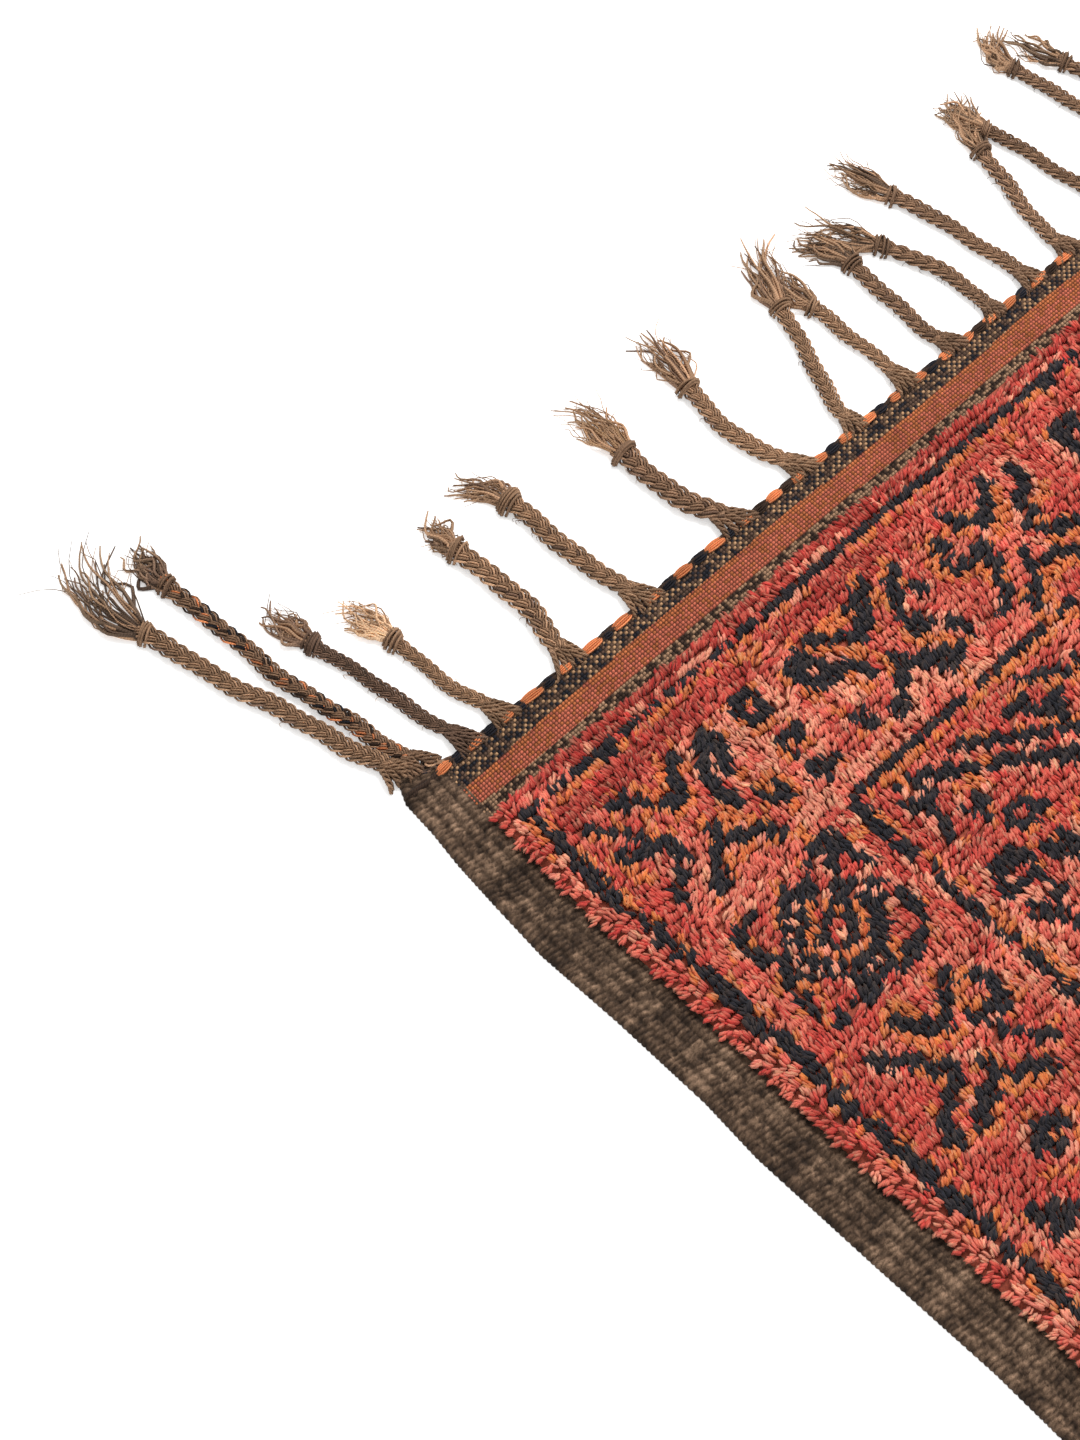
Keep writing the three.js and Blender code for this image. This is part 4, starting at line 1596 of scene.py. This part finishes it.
BRAIDS = (
    BraidRow(22, -6, 115, -36, 240, 112, 22, 15, 1.0, BraidYarn.SMOKY, start=20),
    BraidRow(36, 16, 118, 3, 262, 50, 4, 14, 1.0, BraidYarn.MIXED, start=16),
    BraidRow(74, 58, 80, 47, 150, 50, 2, 12, 1.4, BraidYarn.DARK),
    BraidRow(108, 96, 55, 92, 112, 55, -8, 12, 1.6, BraidYarn.FAIR),
    BraidRow(170, 181, 70, 178, 135, 40, 3, 17, 1.1),
    BraidRow(247, 239, 75, 237, 142, 46, -14, 16, 1.2),
    BraidRow(348, 331, 60, 331, 112, 76, -8, 18, 1.1, BraidYarn.WARM),
    BraidRow(421, 404, 65, 412, 122, 78, -8, 15, 1.1),
    BraidRow(474, 493, 60, 522, 128, 78, 2, 14, 1.1),
    BraidRow(534, 539, 60, 538, 110, 56, 2, 13, 1.1),
    BraidRow(588, 586, 55, 594, 120, 55, -20, 14, 1.1, BraidYarn.DUSKY),
    BraidRow(634, 641, 45, 621, 118, 70, -8, 14, 1.1, BraidYarn.DUSKY),
    BraidRow(682, 681, 70, 668, 145, 70, 3, 14, 1.1, BraidYarn.DUSKY),
    BraidRow(728, 738, 60, 760, 128, 66, 10, 14, 1.1, BraidYarn.DUSKY),
    BraidRow(790, 787, 75, 778, 140, 56, 2, 13, 1.1, BraidYarn.DUSKY),
    BraidRow(844, 853, 90, 848, 170, 54, 22, 13, 1.1, BraidYarn.DUSKY),
)
REPEAT_ROWS = (12, 9, 7, 11, 4, 13, 10, 5, 14)
REPEAT_FIRST = 897.0
REPEAT_PITCH = 50.0


def all_braids() -> list[BraidRow]:
    """Lists every braid from left to right.

    Returns:
        The rows above, their repeats past the near stretch, and the far corner's mirrored two.
    """
    rows = list(BRAIDS)
    for k, which in enumerate(REPEAT_ROWS):
        row = BRAIDS[which]
        by = REPEAT_FIRST + k * REPEAT_PITCH - row.root
        rows.append(replace(row, root=row.root + by, mid=row.mid + by, end=row.end + by, near=False))
    for row in reversed(BRAIDS[:2]):
        w = PLAN.width
        rows.append(replace(row, root=w - row.root, mid=w - row.mid, end=w - row.end,
                            drift=-row.drift, near=False, start=4.0))
    return rows


@dataclass
class YarnBundle:
    """Yarn paths of one kind, gathered until they are swept into one mesh."""

    stations: int
    paths: list[np.ndarray] = field(default_factory=list)
    halves: list[np.ndarray] = field(default_factory=list)
    dyes: list[np.ndarray] = field(default_factory=list)

    def add(self, across: np.ndarray, out: np.ndarray, up: np.ndarray, half: np.ndarray | float,
            dyes: np.ndarray) -> None:
        """Adds one yarn.

        Args:
            across: its places across, in millimetres.
            out: its places out.
            up: its heights.
            half: its half thickness at each place.
            dyes: its linear colour at each place.
        """
        half = np.broadcast_to(half, across.shape)
        self.paths.append(PLAN.free(across, -out, np.maximum(up, half + 0.1)))
        self.halves.append(half * MM)
        self.dyes.append(np.broadcast_to(dyes, across.shape + (3,)))

    def build(self, name: str, finish: bpy.types.Material, slot: str, sides: int = 3) -> bpy.types.Object:
        """Sweeps the yarns.

        Args:
            name: the piece's name.
            finish: its material.
            slot: the record's material slot.
            sides: how many sides a yarn has.

        Returns:
            The piece.
        """
        halves = np.stack(self.halves)
        tubes = Tubes(sides=sides)
        dyes = np.clip(np.stack(self.dyes), 0, 1)
        return tubes.mesh(name, np.stack(self.paths), halves, halves, dyes).build(finish, slot)


@dataclass
class Braids:
    """The plaited warps, their knots, their roots on the edge and their frayed tufts."""

    slim: float = 1.08
    period: float = 1.62
    yarns: int = 5
    yarn_half: float = 0.060
    swing: float = 0.21
    rise: float = 0.14
    core: float = 0.15
    crown: float = 0.17
    steps: int = 11
    root_out: float = 10.0
    seed: int = 61

    def build(self, finish: bpy.types.Material) -> list[bpy.types.Object]:
        """Makes plaits, roots, knots and tufts.

        Args:
            finish: the braid wool.

        Returns:
            The pieces.
        """
        rng = np.random.default_rng(self.seed)
        made = []
        roots, knots, locks, hairs = YarnBundle(8), YarnBundle(9), YarnBundle(13), YarnBundle(10)
        for number, row in enumerate(all_braids()):
            made.append(self._plait(number, row, finish, rng))
            self._root(roots, row, rng)
            self._wrap(knots, row, 1.5, 4 if row.knot < 1.2 else 6, 0.52 * min(row.knot, 1.2), rng)
            self._tuft(locks, row, 20 if row.near else 12, 1.85, rng)
            self._tuft(hairs, row, 24 if row.near else 8, 0.7, rng)
            self._stray(hairs, row, rng)
        for name, bundle in (("braid_roots", roots), ("braid_knots", knots), ("tuft_locks", locks),
                             ("tuft_hairs", hairs)):
            made.append(bundle.build(name, finish, YARN_SLOT))
        return made

    def _plait(self, number: int, row: BraidRow, finish: bpy.types.Material,
               rng: np.random.Generator) -> bpy.types.Object:
        """Plaits three strands of parallel yarns, each over a core.

        Args:
            number: which braid it is.
            row: its measures.
            finish: its material.
            rng: source of chance.

        Returns:
            The piece.
        """
        length, wide = row.length(), row.width * self.slim
        period = self.period * wide
        stations = max(10, round(length / period * (self.steps if row.near else 8)))
        yarns = self.yarns if row.near else 4
        share = np.linspace(min(self.root_out / length, 0.3), 1.0, stations)
        centre = row.point(share)
        way = np.gradient(centre, axis=0)
        way /= np.linalg.norm(way, axis=1, keepdims=True)
        side = np.stack([way[:, 1], -way[:, 0]], axis=-1)
        run = share * length
        waver = 1.5 * np.sin(run / 19 + rng.uniform(0, 6)) + 0.8 * np.sin(run / 8 + rng.uniform(0, 6))
        centre = centre + side * (waver * np.sin(math.pi * share) ** 0.5)[:, None]
        half = wide * self.yarn_half * self.yarns / yarns
        taper = np.clip(0.74 + 0.26 * (run - run[0]) / 12, 0.74, 1)
        swell = 1 + 0.05 * np.sin(run / 13 + rng.uniform(0, 6))
        bundle = YarnBundle(stations)
        mix = row.yarn.value
        # painted shade: the core, seen only between the strands, is the main yarn darkened
        shaded_core = mix.main.linear * 0.26
        for strand in range(3):
            turn = 2 * math.pi * (run / period + strand / 3) + 0.25 * np.sin(run / 31)
            lateral = wide * self.swing * np.sin(turn) * taper * swell
            height = wide * self.rise * np.sin(2 * turn)
            slope = wide * self.swing * 2 * math.pi / period * np.cos(turn)
            cosine = 1 / np.sqrt(1 + slope ** 2)
            normal = side * cosine[:, None] - way * (slope * cosine)[:, None]
            spine = centre + side * lateral[:, None]
            level = wide * (self.core + self.rise) + height
            bundle.add(spine[:, 0], spine[:, 1], level, wide * self.core, shaded_core)
            tone = math.exp(rng.normal(0, 0.08))
            odd = mix.odd[strand % len(mix.odd)]
            lit = (0.44 + 0.62 * np.clip(0.5 + 0.7 * height / (wide * self.rise), 0, 1))[:, None]
            for yarn in range(yarns):
                place = (yarn - (yarns - 1) / 2) / ((yarns - 1) / 2)
                off = place * half * (yarns - 1) * 0.98 * taper * swell
                spot = spine + normal * off[:, None]
                up = level + wide * self.crown * math.sqrt(1 - 0.92 * place ** 2)
                odd_now = np.clip(3 * np.sin(run / 17 + rng.uniform(0, 6)) - 0.2, 0, 1)[:, None]
                odd_now = odd_now * (rng.random() < mix.share)
                shade = mix.main.linear * (1 - odd_now) + odd.linear * odd_now
                # a random tone for each yarn, and painted shade that darkens every other yarn like the shade
                # between neighbours
                shade = shade * tone * math.exp(rng.normal(0.02, 0.15) + 0.20 * (-1) ** yarn)
                bundle.add(spot[:, 0], spot[:, 1], up, half, shade * lit)
        return bundle.build(f"braid_{number + 1:02d}", finish, YARN_SLOT)

    def _root(self, bundle: YarnBundle, row: BraidRow, rng: np.random.Generator) -> None:
        """Draws the warps together from the cloth's edge into the braid, in a few twisted legs.

        Args:
            bundle: the yarns so far.
            row: the braid's measures.
            rng: source of chance.
        """
        meet = row.point(np.array([min((self.root_out + 7) / row.length(), 0.4)]))[0]
        wide, s = row.width * self.slim, np.linspace(0, 1, bundle.stations)
        places = (-1.0, -0.45, 0.1, 0.6, 1.0) if row.near else (-0.9, 0.0, 0.9)
        for place in places:
            start = row.root + place * wide * 0.82 + rng.normal(0, 1.4)
            across = start + (meet[0] + place * wide * 0.24 - start) * s ** 0.8
            bow = 3.0 * abs(place) * np.sin(math.pi * s)
            foot = row.start - 6.5
            out = foot + (meet[1] - foot) * s ** (1.0 + 0.5 * abs(place)) + bow
            up = 4.4 + (4.0 - 1.2 * abs(place)) * np.sin(math.pi * np.clip(s * 0.8 + 0.1, 0, 1))
            up = 0.6 + (up - 0.6) * np.clip(0.15 + s / 0.2, 0, 1)
            first = rng.uniform(0, 6)
            for ply in range(4):
                turn = first + ply * math.pi / 2 + s * 7
                tone = row.yarn.value.main.linear * math.exp(rng.normal(-0.22, 0.18))
                # painted light and shade: each ply is lighter where it twists to the top of the leg and
                # darker beneath
                bundle.add(across + 2.0 * np.cos(turn), out + 1.2 * np.cos(turn), up + 1.7 * np.sin(turn),
                           1.5, tone * (0.68 + 0.34 * np.sin(turn))[:, None])

    def _wrap(self, bundle: YarnBundle, row: BraidRow, back: float, turns: int, wide: float,
              rng: np.random.Generator) -> None:
        """Winds the plait with turns of its own yarn.

        Args:
            bundle: the yarns so far.
            row: the braid's measures.
            back: how far back from its end the first turn lies.
            turns: how many turns there are.
            wide: their half width, as a share of the braid's.
            rng: source of chance.
        """
        for k in range(turns):
            reach = row.width * self.slim * wide * (0.86 + 0.28 * math.sin(math.pi * (k + 0.5) / turns))
            share = 1 - (back + 1.9 * k) / row.length()
            (centre, _), way, side = row.heading(share, share + 0.02)
            turn = np.linspace(-0.12 * math.pi, 1.12 * math.pi, bundle.stations)
            slip = rng.normal(2.6, 1.0) * np.cos(turn + 0.4) + rng.normal(0, 0.7)
            spot = centre + side * (reach * np.cos(turn))[:, None] + way * slip[:, None]
            up = 2.0 + reach * rng.uniform(1.0, 1.2) * np.sin(turn)
            tone = row.yarn.value.main.linear * math.exp(rng.normal(-0.32, 0.18))
            bundle.add(spot[:, 0], spot[:, 1], up, 1.4, tone)

    def _tuft(self, bundle: YarnBundle, row: BraidRow, count: int, half: float,
              rng: np.random.Generator) -> None:
        """Frays the braid's end into wavy yarns that belly out and draw in again.

        Args:
            bundle: the yarns so far.
            row: the braid's measures.
            count: how many yarns to add.
            half: their half thickness at the start.
            rng: source of chance.
        """
        end, way, side = row.tail()
        wide, s = row.width * self.slim, np.linspace(0, 1, bundle.stations)
        belly = 1.5 + 0.10 * row.tuft
        free = np.clip(2.4 * s, 0, 1)
        fan = np.sin(math.pi / 2 * np.clip(1.7 * s, 0, 1)) - 0.3 * np.clip(s - 0.55, 0, 1)
        for _ in range(count):
            place = rng.uniform(-1, 1)
            reach = row.tuft * rng.uniform(0.5, 1.06) * (1 - 0.15 * abs(place))
            lateral = place * (wide * 0.36 + belly * fan)
            for size, low, high in ((2.9, 4, 8), (1.7, 10, 14)):
                push = rng.normal(0, size)
                lateral = lateral + push * np.sin(s * rng.uniform(low, high) + rng.uniform(0, 6)) * free
            lateral = lateral + rng.normal(0, 26) * np.clip(s - 0.62, 0, 1) ** 2 * reach / 30
            along = reach * (s - 0.10 * np.clip(s - 0.6, 0, 1) * rng.uniform(0, 4))
            line = end - way * 3 + way * along[:, None] + side * lateral[:, None]
            line[:, 0] += row.drift * s ** 2
            high = rng.uniform(1.5, 8.0)
            up = high * (1 - s) + rng.uniform(0.6, 3.5) * s
            up = up + 1.0 * np.sin(s * 6 + rng.uniform(0, 6)) * free
            mix = row.yarn.value
            yarn = mix.tuft_odd if rng.random() < 0.32 else mix.tuft
            base = yarn.linear * math.exp(rng.normal(-0.05, 0.26))
            pale = Dye.BLOND.linear * 0.74
            fade = (s ** 1.3 * rng.uniform(-0.2, 0.85)).clip(0, 1)[:, None]
            size = half * rng.uniform(0.7, 1.2) * (1 - 0.66 * s ** 1.6)
            bundle.add(line[:, 0], line[:, 1], up, size, base * (1 - fade) + pale * fade)

    def _stray(self, bundle: YarnBundle, row: BraidRow, rng: np.random.Generator) -> None:
        """Lets a few loose hairs stand off the plait.

        Args:
            bundle: the yarns so far.
            row: the braid's measures.
            rng: source of chance.
        """
        s = np.linspace(0, 1, bundle.stations)
        for share in rng.uniform(0.02, 0.95, 14 if row.near else 1):
            (centre, _), way, side = row.heading(share, share + 0.02)
            side = side * rng.choice([-1, 1])
            reach = rng.uniform(2, 8)
            curl = rng.uniform(1.0, 4.0)
            line = centre + side * (row.width * 0.3 + reach * s - curl * s ** 2)[:, None]
            line = line + way * (reach * 0.7 * s + curl * np.sin(s * 4))[:, None]
            tone = row.yarn.value.tuft_odd.linear * math.exp(rng.normal(0, 0.2))
            bundle.add(line[:, 0], line[:, 1], 4 - 3 * s, 0.34 - 0.2 * s, tone)


@dataclass
class EndCord:
    """The twined cord along the braided end: orange and dark stitches in turn."""

    yarns: int = 5
    out: float = 1.6
    stitch: tuple[float, float] = (13, 24)
    gap: tuple[float, float] = (7, 15)
    yarn_half: float = 1.05
    seed: int = 71

    def build(self, finish: bpy.types.Material) -> list[bpy.types.Object]:
        """Makes the cord's core, its stitches and the tangle at the corner.

        Args:
            finish: its material.

        Returns:
            The pieces.
        """
        rng = np.random.default_rng(self.seed)
        core, stitches, tangle = YarnBundle(240), YarnBundle(9), YarnBundle(10)
        across = np.linspace(12, PLAN.width - 6, core.stations)
        for out, up in ((0.2, 3.4), (3.4, 3.0), (1.8, 4.8)):
            sway = 0.9 * np.sin(across / 5.0 + up)
            core.add(across, out + sway, up + 0.4 * sway, 1.8, Dye.BAND_DARK.linear)
        place = 46.0
        while place < PLAN.width - 30:
            length = rng.uniform(*self.stitch)
            self._stitch(stitches, place, length, Dye.CORD_ORANGE, rng.uniform(6.4, 7.8), rng)
            gap = rng.uniform(*self.gap)
            dark = Dye.INDIGO if rng.random() < 0.6 else Dye.BAND_DARK
            self._stitch(stitches, place + (length + gap) / 2, gap + 2, dark, rng.uniform(5.6, 6.6), rng)
            place += length + gap
        for _ in range(40):
            self._curl(tangle, rng)
        return [core.build("end_cord_core", finish, YARN_SLOT, 4),
                stitches.build("end_cord_stitches", finish, YARN_SLOT),
                tangle.build("corner_tangle", finish, YARN_SLOT, 4)]

    def _stitch(self, bundle: YarnBundle, centre: float, length: float, dye: Dye, high: float,
                rng: np.random.Generator) -> None:
        """Lays one stitch of parallel yarns that are pinched at both ends, with painted shade darkening the
        pinched ends.

        Args:
            bundle: the yarns so far.
            centre: its middle, across.
            length: its length.
            dye: its dye.
            high: its height.
            rng: source of chance.
        """
        s = np.linspace(0, 1, bundle.stations)
        tilt = rng.uniform(-0.06, 0.14)
        base = dye.linear * math.exp(rng.normal(0, 0.12))
        swell = 1.5 if dye is Dye.CORD_ORANGE else 1.6
        bulge = np.sin(math.pi * s) ** 0.45
        # painted shade: the yarns darken toward the pinched ends where they dip under
        ends = (0.45 + 0.55 * bulge)[:, None]
        for k in range(self.yarns):
            place = k - (self.yarns - 1) / 2
            across = centre + (s - 0.5) * length + rng.normal(0, 0.4)
            out = self.out + (s - 0.5) * length * tilt + place * swell * bulge
            up = 3.0 + (high - 3.0 - 0.35 * place ** 2) * bulge
            tone = base * math.exp(rng.normal(0, 0.14))
            bundle.add(across, out, up, self.yarn_half, tone * ends)

    def _curl(self, bundle: YarnBundle, rng: np.random.Generator) -> None:
        """Adds one curled yarn to the tangle where the selvedge's wefts end.

        Args:
            bundle: the yarns so far.
            rng: source of chance.
        """
        s = np.linspace(0, 1, bundle.stations)
        start = rng.uniform(16, 54)
        reach = rng.uniform(5, 12)
        turn = rng.uniform(0, 2 * math.pi)
        across = start + reach * 0.9 * (s - 0.5) * math.cos(turn) + 2.4 * np.sin(s * 5 + turn)
        out = 22 - 0.5 * (start - 16) + rng.normal(0, 3)
        out = out + reach * 0.5 * (s - 0.5) * math.sin(turn) + 1.6 * np.cos(s * 5 + turn)
        up = 3.6 + rng.uniform(0.5, 3.2) * np.sin(math.pi * s)
        dye = (Dye.SMOKE, Dye.DARK_BROWN, Dye.BROWN, Dye.INDIGO)[rng.integers(4)]
        tone = dye.linear * math.exp(rng.normal(-0.1, 0.2))
        bundle.add(across, out, up, 1.15 - 0.4 * s, tone)


@dataclass
class Studio:
    """The pale floor, the soft light and the camera at the photograph's angle."""

    elevation: float = 59.723
    turn: float = 43.822
    look_across: float = 124.10
    look_down: float = 15.17
    distance: float = 1785.7
    lens: float = 62.5
    sensor: float = 36.0
    floor_size: float = 14.0
    floor_glow: float = 0.40
    floor_tone: float = 0.95
    air_colour: tuple[float, float, float, float] = (1.0, 0.995, 0.985, 1)
    air_strength: float = 0.78
    key_size: float = 1.6
    key_energy: float = 62.0
    key_away: float = 1.3
    key_right: float = 0.9
    key_up: float = 2.5

    def build(self) -> None:
        """Makes the floor, the lights and the camera."""
        self._floor()
        self._lights()
        self._camera()

    def _floor(self) -> None:
        """Lays the floor just under the rug."""
        half = self.floor_size / 2
        mesh = bpy.data.meshes.new("studio_floor")
        corners = [(-half, -half, 0), (half, -half, 0), (half, half, 0), (-half, half, 0)]
        mesh.from_pydata(corners, [], [(0, 1, 2, 3)])
        floor = put_in_scene("studio_floor", mesh)
        paper = bpy.data.materials.new("Studio_paper")
        paper.use_nodes = True
        shader = paper.node_tree.nodes["Principled BSDF"]
        pale = (self.floor_tone, self.floor_tone, self.floor_tone, 1)
        set_inputs(shader, {"Base Color": pale, "Roughness": 1.0, "Specular IOR Level": 0.0,
                            "Emission Color": (1, 1, 1, 1), "Emission Strength": self.floor_glow})
        mesh.materials.append(paper)

    def _lights(self) -> None:
        """Hangs a wide soft light over the far side and fills the rest from all round."""
        world = bpy.data.worlds.new("Studio_air")
        world.use_nodes = True
        air = world.node_tree.nodes["Background"]
        set_inputs(air, {"Color": self.air_colour, "Strength": self.air_strength})
        bpy.context.scene.world = world
        aim = self._look_point()
        key = bpy.data.lights.new("Key", "AREA")
        key.size, key.energy = self.key_size, self.key_energy
        lamp = put_in_scene("Key", key)
        turn = math.radians(self.turn)
        away = Vector((math.sin(turn), math.cos(turn), 0))
        right = Vector((math.cos(turn), -math.sin(turn), 0))
        lamp.location = aim + away * self.key_away + right * self.key_right + Vector((0, 0, self.key_up))
        lamp.rotation_mode = "QUATERNION"
        lamp.rotation_quaternion = (aim - lamp.location).to_track_quat("-Z", "Y")

    def _look_point(self) -> Vector:
        """The floor point at the middle of the picture."""
        x0, y0 = ORIGIN
        return Vector((x0 + self.look_across * MM, y0 - self.look_down * MM, 0))

    def _camera(self) -> None:
        """Sets the camera at the photograph's angle."""
        turn, rise = math.radians(self.turn), math.radians(self.elevation)
        look = Vector((math.sin(turn) * math.cos(rise), math.cos(turn) * math.cos(rise), -math.sin(rise)))
        data = bpy.data.cameras.new("Camera")
        data.lens = self.lens
        data.sensor_width = self.sensor
        data.clip_start, data.clip_end = 0.05, 60
        camera = put_in_scene("Camera", data)
        camera.rotation_mode = "QUATERNION"
        camera.rotation_quaternion = look.to_track_quat("-Z", "Y")
        camera.location = self._look_point() - look * self.distance * MM
        bpy.context.scene.camera = camera
        bpy.context.scene.view_settings.view_transform = "Standard"


def main() -> None:
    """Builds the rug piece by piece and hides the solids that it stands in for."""
    logging.basicConfig(level=logging.INFO, format="%(name)s: %(message)s")
    Studio().build()
    ground = Ground().build(GROUND_WOOL.make())
    pile = Pile().build(PILE_WOOL.make())
    band_wool = BAND_WOOL.make()
    bands = WovenBand("end_band", False, 730.0).build(band_wool)
    bands += WovenBand("far_band", True, 0.0).build(band_wool)
    goat = GOAT_HAIR.make()
    sides = Selvedge("left_selvedge", False, 660.0).build(goat)
    sides += Selvedge("right_selvedge", True, 0.0).build(goat)
    braid_wool = BRAID_WOOL.make()
    cord = EndCord().build(braid_wool)
    braids = Braids().build(braid_wool)
    for piece in [ground, *pile, *bands, *sides]:
        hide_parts(CLOTH_NODE)
    for piece in [*cord, *braids]:
        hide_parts(FRINGE_NODE)
    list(pile)
    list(bands)
    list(sides)
    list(cord)
    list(braids)
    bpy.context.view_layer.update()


if __name__ == "__main__":
    main()
